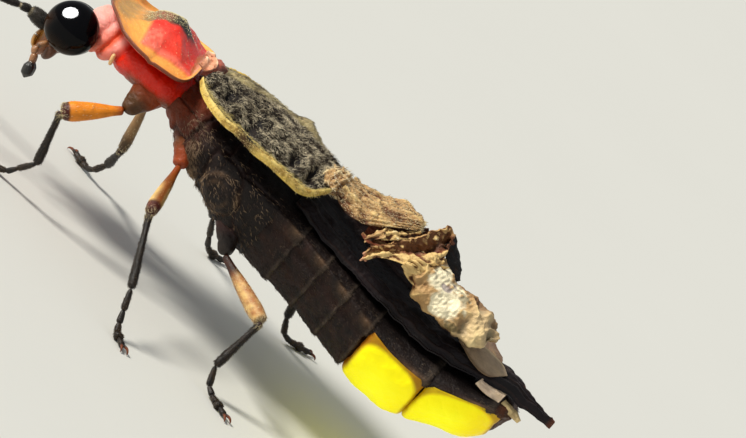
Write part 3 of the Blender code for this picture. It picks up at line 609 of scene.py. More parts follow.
def makeNeck():
    # one soft skin from the head to the wings' roots: pleats across, finer wrinkles along
    x = np.linspace(-0.10, 2.72, 190)
    angles = np.linspace(0, turn, 150, endpoint=False)
    rounded = 0.5 + 0.5 * np.sqrt(1 - np.clip((0.10 - x) / 0.20, 0, 1) ** 2)
    grid = trunkRings(neck["lines"], x, angles, rounded)
    out = facing(grid, -1)
    along, side = grid[..., 0], np.sin(angles)[None] + 0 * grid[..., 0]
    slant = along - 0.10 * side
    fold = (-0.05 * hump(slant, 0.36, 0.08) - 0.07 * hump(slant, 0.66, 0.06) + 0.05 * hump(slant, 0.84, 0.12)
            - 0.05 * hump(slant, 1.06, 0.07) - 0.02 * hump(along - 0.15 * side, 1.52, 0.08)
            - 0.025 * hump(along + 0.2 * side, 2.1, 0.09))
    grid = grid + out * (fold + 0.010 * waves(grid, 0.3, 31))[..., None]
    p = onTube(grid)
    up = onTube(side)
    lit = blots(p, 0.5, 33)
    tint = tinted(len(p), neck["deep"],
                  (ease(p[:, 0], 1.10, 0.85), neck["pink"]),
                  (hump(p[:, 0] - 0.1 * up, 0.66, 0.10), neck["salmon"]),
                  (ease(p[:, 0], 0.62, 0.45) * ease(-up, -0.4, 0.5), neck["rose"]),
                  (ease(p[:, 0], 0.66, 0.50) * ease(up, 0.1, 0.8) * (0.7 + 0.3 * lit), neck["blush"]),
                  (hump(p[:, 0] - 0.1 * up, 0.86, 0.08) * ease(up, -0.4, 0.3) * 0.6, neck["blush"]),
                  (ease(-up, 0.5, 1.0) * ease(p[:, 0], 1.3, 0.8) * 0.5, neck["salmon"]),
                  (ease(p[:, 0], 2.1, 2.6) * ease(-up, -0.1, 0.7), neck["brown"]),
                  (ease(-up, 0.25, 0.60) * ease(p[:, 0], 1.25, 1.6) * 0.9, neck["brown"]))
    makePiece("neck_and_prothorax_skin", closedTube(grid), finishes["soft"], tint,
              ["neck", "prothorax"])
    for side, s in (("left", -1), ("right", 1)):
        # the pale plate beside the throat
        t = np.linspace(0, 1, 26)
        path = curve([(0.92, s * 0.74, 3.72), (0.95, s * 0.76, 3.60), (0.98, s * 0.70, 3.47),
                      (1.00, s * 0.60, 3.38)], 26)
        bead = tubeGrid(path, 0.050 * np.sqrt(np.clip(1 - (2 * t - 1) ** 4, 0.01, 1)), 14, (1, 0, 0))
        shape = closedTube(bead)
        makePiece("throat_plate_" + side, shape, finishes["soft"],
                  tinted(len(shape[0]), neck["cream"]))


# The shield over the head.

shield = {
    "length": 2.62, "halfWidth": 1.84, "frontCurve": 1.75, "middle": (1.45, 0.0), "thick": 0.10,
    "orange": (246, 168, 76), "amber": (226, 128, 40), "red": (232, 40, 22), "bright": (246, 74, 44),
    "pink": (250, 136, 110), "dark": (30, 22, 14), "olive": (146, 128, 78), "line": (120, 52, 16),
    "salmon": (226, 158, 122), "under": (214, 52, 20), "hairs": 800,
}


def shieldOutline(angle):
    # rounded front, nearly straight sides and a wavy rear edge with blunt corners
    across, along = np.sin(angle), -np.cos(angle)
    front = along < 0
    curveAt = shield["frontCurve"]
    back = np.clip(along, 0, 1) ** 0.30
    width = np.where(front, across, np.sign(across) * np.abs(across) ** 0.30 * (1 - 0.04 * along))
    x = np.where(front, curveAt * (1 + along), curveAt + (shield["length"] - curveAt) * back)
    return x, shield["halfWidth"] * width


def shieldDisc(x, y):
    # the raised pad on each side of the middle line: 1 on it, 0 off it
    y = np.abs(y)
    front = 0.98 + 0.16 * y
    return ease(x, front - 0.05, front + 0.06) * ease(y, 1.60 - 0.12 * x, 1.50 - 0.12 * x) * ease(
        x, 2.42 + 0.14 * y, 2.32 + 0.14 * y)


def shieldHeight(x, y, reach):
    # a brim that droops at the sides and turns up at its edge, round a roof with two raised pads
    brim = 4.46 + 0.085 * x - 0.21 * (y / 1.84) ** 2 * ease(x, 0.2, 0.8)
    dome = np.interp(x, (0, 0.4, 0.82, 1.12, 1.61, 2.1, 2.62), (-0.04, 0.04, 0.23, 0.36, 0.45, 0.36, 0.18))
    roof = 0.5 + 0.5 * np.cos(np.pi * np.clip(reach / 0.92, 0, 1))
    edge = 0.06 * ease(reach, 0.91, 1.0)
    pads = shieldDisc(x, y) * (0.05 + 0.05 * hump(x, 1.35, 0.30) * hump(np.abs(y), 1.05, 0.30)
                               + 0.05 * hump(x, 1.95, 0.28) * hump(np.abs(y), 0.9, 0.35))
    ridge = 0.09 * hump(y, 0, 0.26) * ease(x, 0.7, 1.1) * ease(x, 2.5, 2.1)
    crease = 0.04 * hump(x, 1.66, 0.08) * ease(np.abs(y), 0.5, 1.0)
    return brim + dome * roof + edge + pads + ridge - crease


def shieldBand(x):
    # half the width of the dark band down the middle, narrower to the rear
    return 0.60 - 0.24 * x


def makeShield():
    # a point = middle + reach * (outline - middle), its height from the brim and the roof
    angles = np.linspace(0, turn, 260, endpoint=False)
    reach = 1 - (np.linspace(0, 1, 110) ** 1.15)[:, None] * 0.985
    edgeX, edgeY = shieldOutline(angles)
    midX, midY = shield["middle"]
    x, y = midX + (edgeX - midX) * reach, midY + (edgeY - midY) * reach
    top = np.stack([x, y, shieldHeight(np.clip(x, 0, shield["length"]), y, reach) + 0 * x], -1)
    top[..., 2] += waves(top, 0.30, 41) * 0.010 * ease(reach, 1.0, 0.85)
    bottom = top.copy()
    bottom[..., 2] -= shield["thick"] * (0.5 + 0.5 * ease(reach, 1.0, 0.85))
    top[..., 2] += 0.030 * hump(reach, 0.985, 0.02)
    rings = np.concatenate([bottom[::-1], top])
    p = onTube(rings)
    far = onTube(np.concatenate([(reach + 0 * x)[::-1], reach + 0 * x]))
    over = onTube(np.concatenate([np.zeros_like(x), np.ones_like(x)]))
    px, py = p[:, 0], np.abs(p[:, 1])
    mott = blots(p, 0.45, 43)
    fleck = blots(p, 0.16, 44)
    disc = shieldDisc(p[:, 0], p[:, 1])
    bandHalf = shieldBand(px) + 0.08 * mott
    band = ease(py, bandHalf + 0.12, bandHalf) * ease(px, 0.72, 1.0) * ease(px, 2.2, 2.0)
    tint = tinted(len(p), shield["orange"],
                  (ease(px, 0.95, 0.55) * ease(py, 1.0, 0.5) * 0.6, shield["olive"]),
                  (hump(far, 0.90, 0.05) * 0.5, shield["amber"]),
                  (disc, shield["red"]),
                  (disc * spot(np.abs(p), 1.30, 1.05, 0.26, 0.34) * (0.4 + 0.6 * fleck), shield["pink"]),
                  (disc * spot(np.abs(p), 1.98, 0.95, 0.30, 0.40) * 0.6, shield["bright"]),
                  (disc * ease(py, 1.62 - 0.12 * px - 0.30, 1.62 - 0.12 * px - 0.12) * 0.6, shield["pink"]),
                  (ease(px, 2.38, 2.5) * ease(py, 1.2, 0.8), shield["salmon"]),
                  (band * (0.55 + 0.45 * ease(px, 1.15, 1.5)), shield["dark"]),
                  (band * ease(px, 1.6, 1.2) * (0.35 + 0.45 * fleck), (126, 124, 92)),
                  (hump(far, 0.965, 0.018) * 0.7, (250, 190, 92)),
                  (hump(far, 1.0, 0.012), shield["line"]),
                  ((1 - over) * ease(far, 0.99, 0.94), shield["under"]))
    makePiece("head_shield", closedTube(rings), finishes["shield"], tint, ["pronotum"])
    # short yellowish hairs, thickest on the dark band down the middle
    share = ease(np.abs(y), shieldBand(x) + 0.10, shieldBand(x) - 0.08) * ease(x, 0.75, 1.0)
    share = 0.015 + share * ease(x, 2.0, 1.4)
    roots = scatter(top, shield["hairs"], 45, -1, share)
    colour = tinted(len(roots["at"]), (216, 204, 158))
    hairs("head_shield_down", roots, np.array([1.0, 0, 0]), 0.10, 0.0045, 0.5, colour)
    # the torn pale flake at the rear edge
    u, v = shares(60, 60)
    flake = np.stack([2.47 + 0.31 * u + 0.05 * np.sin(7 * v), -0.85 + 1.25 * v + 0.12 * u,
                      4.86 + 0.13 * np.sin(3.1 * v) + 0.05 * np.sin(8 * u + 5 * v) * u], -1)
    crushed = creases(flake, 0.22, 47)
    flake[..., 2] += 0.10 * (crushed - 0.5)
    shape = closedSheet(flake, flake - (0, 0, 0.035))
    hill = onSheet(crushed)
    # painted light: the pale on the raised fold lines is painted highlight, the dark in the sunken facets
    # painted shade
    tint = tinted(len(shape[0]), shield["salmon"], (ease(hill, 0.5, 0.85), (250, 222, 184)),
                  (ease(hill, 0.35, 0.15) * 0.8, (150, 70, 40)))
    makePiece("shield_rear_flake", shape, finishes["crumpled"], tint, sharp=60)


def makeScutellum():
    # the small plate between the wing roots: narrows to the rear, domed across
    u, v = np.meshgrid(np.linspace(0, 1, 30), np.linspace(-1, 1, 30), indexing="ij")
    half = 0.44 * (1 - u ** 1.4) + 0.05
    top = np.stack([2.66 + 0.42 * u, v * half, 4.84 + 0.10 * (1 - v * v) + 0.05 * np.sin(np.pi * u)], -1)
    top[..., 2] += 0.015 * waves(top, 0.2, 51)
    shape = closedSheet(top, top - (0, 0, 0.25))
    tint = tinted(len(shape[0]), (186, 96, 74), (ease(shape[0][:, 0], 2.80, 3.05), (110, 56, 38)))
    makePiece("scutellum_plate", shape, finishes["shield"], tint, ["scutellum"], sharp=50)


makeNeck()
makeShield()
makeScutellum()
print("neck, shield and scutellum")


# Thorax, abdomen and lanterns.

trunk = {
    # x, half width, top, side edge, underside
    "lines": [(2.60, 1.15, 4.38, 3.98, 3.42), (3.40, 1.55, 4.45, 3.85, 2.95),
              (4.30, 1.75, 4.45, 3.75, 2.60), (5.20, 1.80, 4.32, 3.75, 2.22),
              (6.05, 1.72, 4.12, 3.76, 2.08), (7.50, 1.76, 3.86, 3.60, 1.98),
              (9.30, 1.76, 3.64, 3.22, 1.70), (10.10, 1.72, 3.60, 3.08, 1.66),
              (11.10, 1.62, 3.58, 3.10, 1.76), (11.80, 1.45, 3.62, 3.28, 2.12),
              (12.55, 1.15, 3.72, 3.48, 2.42), (13.00, 0.70, 3.70, 3.48, 2.85)],
    "breaks": (6.00, 6.85, 7.68, 8.50, 9.36, 11.12, 12.62, 13.04),
    "black": (22, 14, 12), "brown": (58, 32, 22), "rust": (112, 44, 14), "grey": (96, 84, 72),
    "tan": (150, 116, 84), "membrane": (40, 22, 18),
}
lantern = {
    "front": (9.40, 11.10), "rear": (11.12, 12.84),
    # glow: the painted highlight on the middle of each lantern
    "yellow": (250, 236, 0), "deep": (246, 206, 0), "brown": (132, 74, 12), "glow": (255, 250, 20),
    "plump": {"front": 1.06, "rear": 1.05}, "flat": 0.92,
}


def makeThorax():
    # trunk rings with plates divided by grooves, drawn in at the seams between them
    x = np.linspace(2.60, 6.05, 200)
    angles = np.linspace(0, turn, 170, endpoint=False)
    grid = trunkRings(trunk["lines"], x, angles)
    out = facing(grid, -1)
    along, up = grid[..., 0], np.sin(angles)[None] + 0 * grid[..., 0]
    wander = 0.12 * waves(grid, 1.1, 60)
    grooves = (hump(along + wander, 4.20 + 0.12 * up, 0.06) + hump(along - 0.35 * up + wander, 3.40, 0.06)
               + 0.7 * hump(along + 0.5 * up + wander, 5.15, 0.05)
               + 0.6 * hump(up + 0.6 * wander, 0.30, 0.06))
    # a rounded lobe with pale arcs of hair, low on each side behind the middle legs
    far = np.hypot((along - 4.75) / 0.52, (up + 0.42) / 0.36)
    lobe = np.clip(1 - far ** 2, 0, 1) ** 0.5
    swells = hump(along, 3.80, 0.35) * hump(up, -0.35, 0.4)
    grid = grid + out * (0.07 * swells + 0.15 * lobe - 0.06 * np.clip(grooves, 0, 1)
                         + 0.02 * waves(grid, 0.4, 61))[..., None]
    p, rise, cut = onTube(grid), onTube(up), onTube(np.clip(grooves, 0, 1))
    arc = onTube(hump(far, 0.92, 0.10) + 0.6 * hump(far, 0.55, 0.10))
    blot = blots(p, 0.6, 63)
    tint = tinted(len(p), trunk["black"],
                  (ease(p[:, 0], 3.9, 2.9), trunk["rust"]),
                  (ease(p[:, 0], 4.8, 3.4) * ease(np.abs(rise), 0.8, 0.2) * 0.5 * blot, trunk["brown"]),
                  (cut * 0.8, trunk["membrane"]),
                  (arc * 0.35 * blot, trunk["tan"]))
    makePiece("thorax_skin", closedTube(grid), finishes["body"], tint, ["mesothorax", "metathorax"])
    share = 0.10 + 1.6 * hump(along + 0.4 * up, 3.55, 0.22) * ease(up, 0.5, 0.2) + 0.5 * hump(far, 0.92, 0.12)
    share = share * ease(up, 0.7, 0.4) * ease(along, 2.8, 3.2)
    roots = scatter(grid, 4200, 65, -1, share)
    colour = tinted(4200, (186, 156, 124), (0.6 + 0.6 * waves(roots["at"], 0.5, 66), (74, 56, 44)))
    hairs("thorax_down", roots, np.array([1.0, 0, -0.5]), 0.14, 0.0055, 0.35, colour)


def makeAbdomen():
    # segments that flare over the next, each edge a small step; drawn in under the lanterns
    stops, swells, shareOn = [], [], []
    for a, b in zip(trunk["breaks"][:-1], trunk["breaks"][1:]):
        t = np.linspace(0, 1, 26)
        stops.append(a + (b - a) * t)
        swells.append(0.980 + 0.032 * t ** 0.8 - 0.02 * ease(t, 0.97, 1.0))
        shareOn.append(t)
    x, swell = np.concatenate(stops), np.concatenate(swells)
    rounded = ease(x, 13.06, 12.85) * 0.75 + 0.25
    low = 1 - 0.16 * ease(x, 9.30, 9.42) * ease(x, 12.98, 12.92)
    angles = np.linspace(0, turn, 180, endpoint=False)
    grid = trunkRings(trunk["lines"], x, angles, swell * rounded, low)
    out = facing(grid, -1)
    part = np.concatenate(shareOn)[:, None] + 0 * grid[..., 0]
    up = np.sin(angles)[None] + 0 * grid[..., 0]
    sideRoll = 0.05 * hump(up, 0.05, 0.16) - 0.05 * hump(up, -0.22, 0.06)
    grid = grid + out * (sideRoll + 0.016 * waves(grid, 0.35, 71))[..., None]
    p, t, rise = onTube(grid), onTube(part), onTube(up)
    blot = blots(p, 0.5, 73)
    edgeLine = ease(t, 0.86, 0.95)
    tint = tinted(len(p), trunk["black"],
                  (0.5 * blot * ease(rise, 0.6, -0.2), trunk["brown"]),
                  (edgeLine * 0.45 * (0.4 + blot), trunk["grey"]),
                  (hump(rise, -0.22, 0.06) * 0.4, trunk["membrane"]),
                  (hump(t, 0.75, 0.2) * hump(rise, 0.06, 0.12) * 0.35, trunk["tan"]),
                  (ease(p[:, 0], 12.55, 12.75) * 0.8, (84, 46, 24)))
    makePiece("abdomen_skin", closedTube(grid), finishes["body"], tint,
              ["abdomen_2", "abdomen_3", "abdomen_4", "abdomen_5", "tergite_front", "tergite_rear",
               "abdomen_tip"])
    share = (0.3 + ease(part, 0.5, 0.9)) * ease(up, 0.75, 0.4)
    share = share * np.where(grid[..., 0] > 9.3, ease(up, -0.1, 0), 1)
    roots = scatter(grid, 5000, 75, -1, share)
    colour = tinted(5000, (104, 88, 72), (blots(roots["at"], 0.6, 76), (52, 40, 34)))
    hairs("abdomen_down", roots, np.array([1.0, 0, -0.1]), 0.10, 0.0045, 0.22, colour)


def makeLanterns():
    # the lower arch of a segment as a plump closed pad, rounded off at its front and rear edges
    for side, (start, end) in (("front", lantern["front"]), ("rear", lantern["rear"])):
        t = np.linspace(0, 1, 90)
        x = start + (end - start) * (0.5 - 0.5 * np.cos(np.pi * t))
        t = (x - start) / (end - start)
        round4 = np.clip(1 - np.abs(2 * t - 1) ** 6, 0, 1) ** (1 / 2.4)
        arch = np.linspace(-0.04, math.pi + 0.04, 120) + math.pi
        plump = lantern["plump"][side] * round4 + lantern["flat"] * (1 - round4)
        outer = trunkRings(trunk["lines"], x, arch, plump)
        inner = trunkRings(trunk["lines"], x, arch[::-1], 0.70)
        rings = np.concatenate([outer, inner], axis=1)
        out = facing(outer, -1)
        rings[:, :len(arch)] += out * (0.014 * waves(outer, 0.55, 81))[..., None]
        p = onTube(rings)
        up = onTube(np.concatenate([np.sin(arch), np.sin(arch[::-1])])[None] + 0 * rings[..., 0])
        share = onTube(t[:, None] + 0 * rings[..., 0])
        # brown along the upper edge and in the corners
        border = ease(np.abs(2 * share - 1) ** 3 + np.clip(1 + up / 0.55, 0, 1) ** 3, 0.66, 1.10)
        front = side == "front"
        # the paler middle, low down, is a painted highlight
        middle = hump(share, 0.5, 0.36) * ease(up, -0.15, -0.5)
        tint = tinted(len(p), lantern["yellow"], (middle, lantern["glow"]),
                      (ease(share, 0.5, 1.0) * (0.1 if front else 0.6), lantern["deep"]),
                      (ease(share, 0.10, 0.0) * (0.9 if front else 0.3), lantern["brown"]),
                      (ease(share, 0.95, 1.0) * 0.3, lantern["brown"]),
                      (border * (0.9 if front else 0.7), lantern["brown"]))
        makePiece("lantern_" + side, closedTube(rings), finishes["lantern"], tint,
                  ["light_organ_" + side])


makeThorax()
makeAbdomen()
makeLanterns()
print("thorax, abdomen and lanterns")


# Wing cases.

leftCase = {
    "margin": [(2.78, -1.50, 4.80), (2.96, -1.76, 4.70), (3.23, -1.98, 4.64), (3.58, -2.12, 4.60),
               (3.90, -2.18, 4.59), (4.20, -2.20, 4.62), (4.75, -2.20, 4.56), (5.17, -2.15, 4.58),
               (5.49, -2.08, 4.55), (5.81, -2.00, 4.52), (6.08, -1.90, 4.50), (6.32, -1.78, 4.58),
               (6.54, -1.58, 4.80), (6.62, -1.36, 4.92)],
    "seam": [(2.92, -0.66, 4.86), (3.60, -0.12, 4.95), (4.31, -0.10, 5.10), (4.77, -0.10, 5.15),
             (5.38, -0.10, 5.12), (5.90, -0.12, 5.13), (6.30, -0.24, 5.08), (6.50, -0.44, 5.05)],
    # how deep or high each mark is, its middle (x, y) and its reach along x and y
    "dents": ((0.20, 3.50, -1.25, 0.17, 0.30), (0.20, 4.35, -1.75, 0.20, 0.42),
              (0.20, 5.55, -1.45, 0.20, 0.30), (0.18, 6.05, -1.30, 0.13, 0.32),
              (0.10, 3.05, -1.10, 0.12, 0.20), (0.10, 4.15, -0.75, 0.14, 0.30),
              (0.10, 5.25, -1.85, 0.10, 0.12)),
    "rises": ((0.06, 3.05, -1.35, 0.20, 0.30), (0.07, 3.85, -1.60, 0.20, 0.40),
              (0.08, 5.82, -1.45, 0.10, 0.35), (0.06, 4.85, -0.90, 0.50, 0.50),
              (0.08, 6.25, -1.00, 0.14, 0.40)),
    "bulge": 0.17, "thick": 0.06, "hairs": 11000, "swirl": (4.72, -0.90),
    # pale: the painted highlight along the crest of the rolled margin
    "dark": (15, 11, 10), "brown": (36, 25, 20), "yellow": (212, 178, 82), "pale": (240, 218, 140),
    "hair": (232, 218, 186), "gold": (240, 218, 140),
}


def caseGrid(margin, seam, rows, columns, bulge):
    # from the margin (v = 0) to the seam (v = 1), bulging between
    u = np.linspace(0, 1, rows)
    v = np.linspace(0, 1, columns)[None, :, None]
    outer, inner = curve(margin, at=u)[:, None], curve(seam, at=u)[:, None]
    grid = outer * (1 - v) + inner * v
    grid[..., 2] += bulge * np.sin(np.pi * v[..., 0]) ** 0.75
    return grid


def makeLeftCase():
    # the sound front part: dents, faint ribs, a rolled yellow margin, and a coat of swirling hairs
    look = leftCase
    rows, columns = 260, 170
    grid = caseGrid(look["margin"], look["seam"], rows, columns, look["bulge"])
    u, v = shares(rows, columns)
    out = facing(grid)
    dents = sum(deep * spot(grid, *place) for deep, *place in look["dents"])
    rises = sum(high * spot(grid, *place) for high, *place in look["rises"])
    inside = ease(v, 0.06, 0.16)
    ribs = 0.018 * np.cos(turn * 4 * v) * inside
    grid = grid + out * ((rises - dents) * inside + ribs + 0.022 * waves(grid, 0.35, 91) * inside)[..., None]
    roll = hump(v, 0.045, 0.035)
    grid = grid + out * (0.07 * roll)[..., None]
    grid[..., 2] -= 0.05 * ease(v, 0.03, 0.0)
    back = grid - facing(grid) * (look["thick"] * (0.5 + 0.5 * ease(v, 0.0, 0.05)))[..., None]
    shape = closedSheet(grid, back)
    p = shape[0]
    edge, length = onSheet(v), onSheet(u)
    gap = hump(p[:, 0], 4.42, 0.27)
    wobble = 0.012 * waves(p, 0.25, 93)
    rimWidth = 0.054 + 0.020 * ease(p[:, 0], 4.4, 5.2) + wobble - 0.030 * gap
    rim = ease(edge, rimWidth + 0.014, rimWidth - 0.010)
    blot = blots(p, 0.35, 95)
    tint = tinted(len(p), look["dark"],
                  (0.55 * blot, look["brown"]),
                  (rim * (1 - 0.8 * gap), look["yellow"]),
                  # painted highlight along the crest of the rolled margin
                  (rim * (1 - gap) * hump(edge, 0.040, 0.02) * (0.2 + 0.7 * blot), look["pale"]),
                  (rim * ease(blot, 0.55, 0.15) * 0.6, (138, 98, 44)),
                  (rim * gap, (72, 48, 26)),
                  (ease(length, 0.965, 1.0) * 0.7, (150, 124, 80)))
    makePiece("wing_case_left_front", shape, finishes["case"], tint, ["elytron_left_base"],
              sharp=60)
    darker = np.clip(dents / 0.15, 0, 1)
    patchy = 0.5 + 0.5 * waves(grid, 0.5, 96, 2)
    share = ease(v, 0.05, 0.10) * (1 - 0.8 * darker)
    share = share * (0.5 + 0.5 * np.clip(rises / 0.06, 0, 1) + 0.6 * patchy)
    roots = scatter(grid, look["hairs"], 97, 1, share)
    x, y = roots["at"][:, 0] - look["swirl"][0], roots["at"][:, 1] - look["swirl"][1]
    near = np.exp(-(x * x + y * y) / 0.9)[:, None]
    swirl = np.stack([-y, x, 0 * x], 1) / np.sqrt(x * x + y * y + 0.02)[:, None]
    away = np.stack([x, y, 0 * x], 1) / np.sqrt(x * x + y * y + 0.02)[:, None]
    lie = np.array([0.8, -0.5, 0]) * (1 - near) + (0.9 * swirl + 0.7 * away) * near
    lie = lie + 0.5 * np.stack([waves(roots["at"], 0.7, 98 + k, 2) for k in range(3)], 1)
    light = 0.5 + 0.6 * waves(roots["at"], 0.4, 99) + roots["draw"].normal(0, 0.35, len(x))
    colour = tinted(len(x), look["hair"], (ease(light, 0.95, 0.35), (62, 50, 38)),
                    (ease(roots["v"], 0.16, 0.08), look["gold"]))
    hairs("wing_case_left_coat", roots, lie, 0.150, 0.0046, 0.42, colour, spread=0.55)
    # a finer fringe on the yellow margin
    roots = scatter(grid, 800, 101, 1, ease(v, 0.10, 0.06))
    colour = tinted(800, (250, 226, 150), (roots["draw"].random(800) < 0.12, (90, 66, 30)))
    hairs("wing_case_left_fringe", roots, np.array([0.8, -0.4, -0.1]), 0.07, 0.0045, 0.35, colour)


# besides their own use, gold and straw paint highlight on the crests of creases, brown and dark paint shade
# in their hollows, and cream paints highlight patches
folds = {
    "tan": (186, 148, 98), "gold": (224, 190, 126), "straw": (250, 230, 180), "brown": (112, 70, 40),
    "rust": (110, 44, 26), "cream": (255, 244, 208), "dark": (52, 30, 18), "olive": (96, 84, 52),
    "purple": (138, 122, 134), "pink": (222, 158, 130), "black": (14, 10, 10),
}


def crush(points, size, seed, stretch=(1, 1, 1), pillow=0.6, small=0.28):
    # three sizes of creases: standing folds, smaller pillows between sharp valleys, and fine folds
    big = creases(points, size, seed, stretch)
    pillows = creases(points, size * 0.52, seed + 1, stretch)
    fine = creases(points, size * 0.27, seed + 2, stretch)
    return (big - 0.5) - pillow * (pillows - 0.4) + small * (fine - 0.5)


def crushedSheet(name, low, high, bulge, look, seed, nodes=(), rows=150, columns=110, size=0.22,
                 depth=0.10, stretch=(2.4, 1, 1), thick=0.035, ridges=(0, 0.0), paintMore=()):
    # a thin sheet from its lower edge (v = 0) to its upper edge (v = 1), bulged out, ribbed and crushed;
    # ridges holds how many ribs run along it and how far they stand up
    u = np.linspace(0, 1, rows)
    v = np.linspace(0, 1, columns)[None, :, None]
    grid = curve(low, at=u)[:, None] * (1 - v) + curve(high, at=u)[:, None] * v
    grid = grid + np.array(bulge) * np.sin(np.pi * v)
    way = 1 if facing(grid)[rows // 2, columns // 2] @ np.array([-0.4, -0.6, 0.7]) > 0 else -1
    out = facing(grid, way)
    crushed = crush(grid, size, seed, stretch)
    wander = 0.35 * waves(grid, 0.8, seed + 5, 2)
    ribs = np.cos(turn * (ridges[0] * v[..., 0] + wander)) if ridges[0] else np.zeros(grid.shape[:2])
    height = crushed + ribs * ridges[1] / max(depth, 0.001) * (0.6 + 0.4 * waves(grid, 0.5, seed + 6, 2))
    grid = grid + out * (depth * height)[..., None]
    shape = closedSheet(grid, grid - out * thick)
    p, hill = shape[0], onSheet(height)
    uu = onSheet(u[:, None] + np.zeros((1, columns)))
    vv = onSheet(v[..., 0] + np.zeros((rows, 1)))
    # painted light by the crease height: brown and dark in the hollows are painted shade, gold and straw on
    # the crests painted highlight
    layers = [(ease(hill, -0.05, -0.30), folds["brown"]), (ease(hill, 0.10, 0.50), folds["gold"]),
              (ease(hill, -0.35, -0.60), folds["dark"]), (ease(hill, 0.45, 0.75) * 0.8, folds["straw"])]
    layers += [(mask(p, uu, vv), colour) for mask, colour in paintMore]
    makePiece(name, shape, finishes["crumpled"], tinted(len(p), look, *layers), nodes, sharp=75)
    return grid


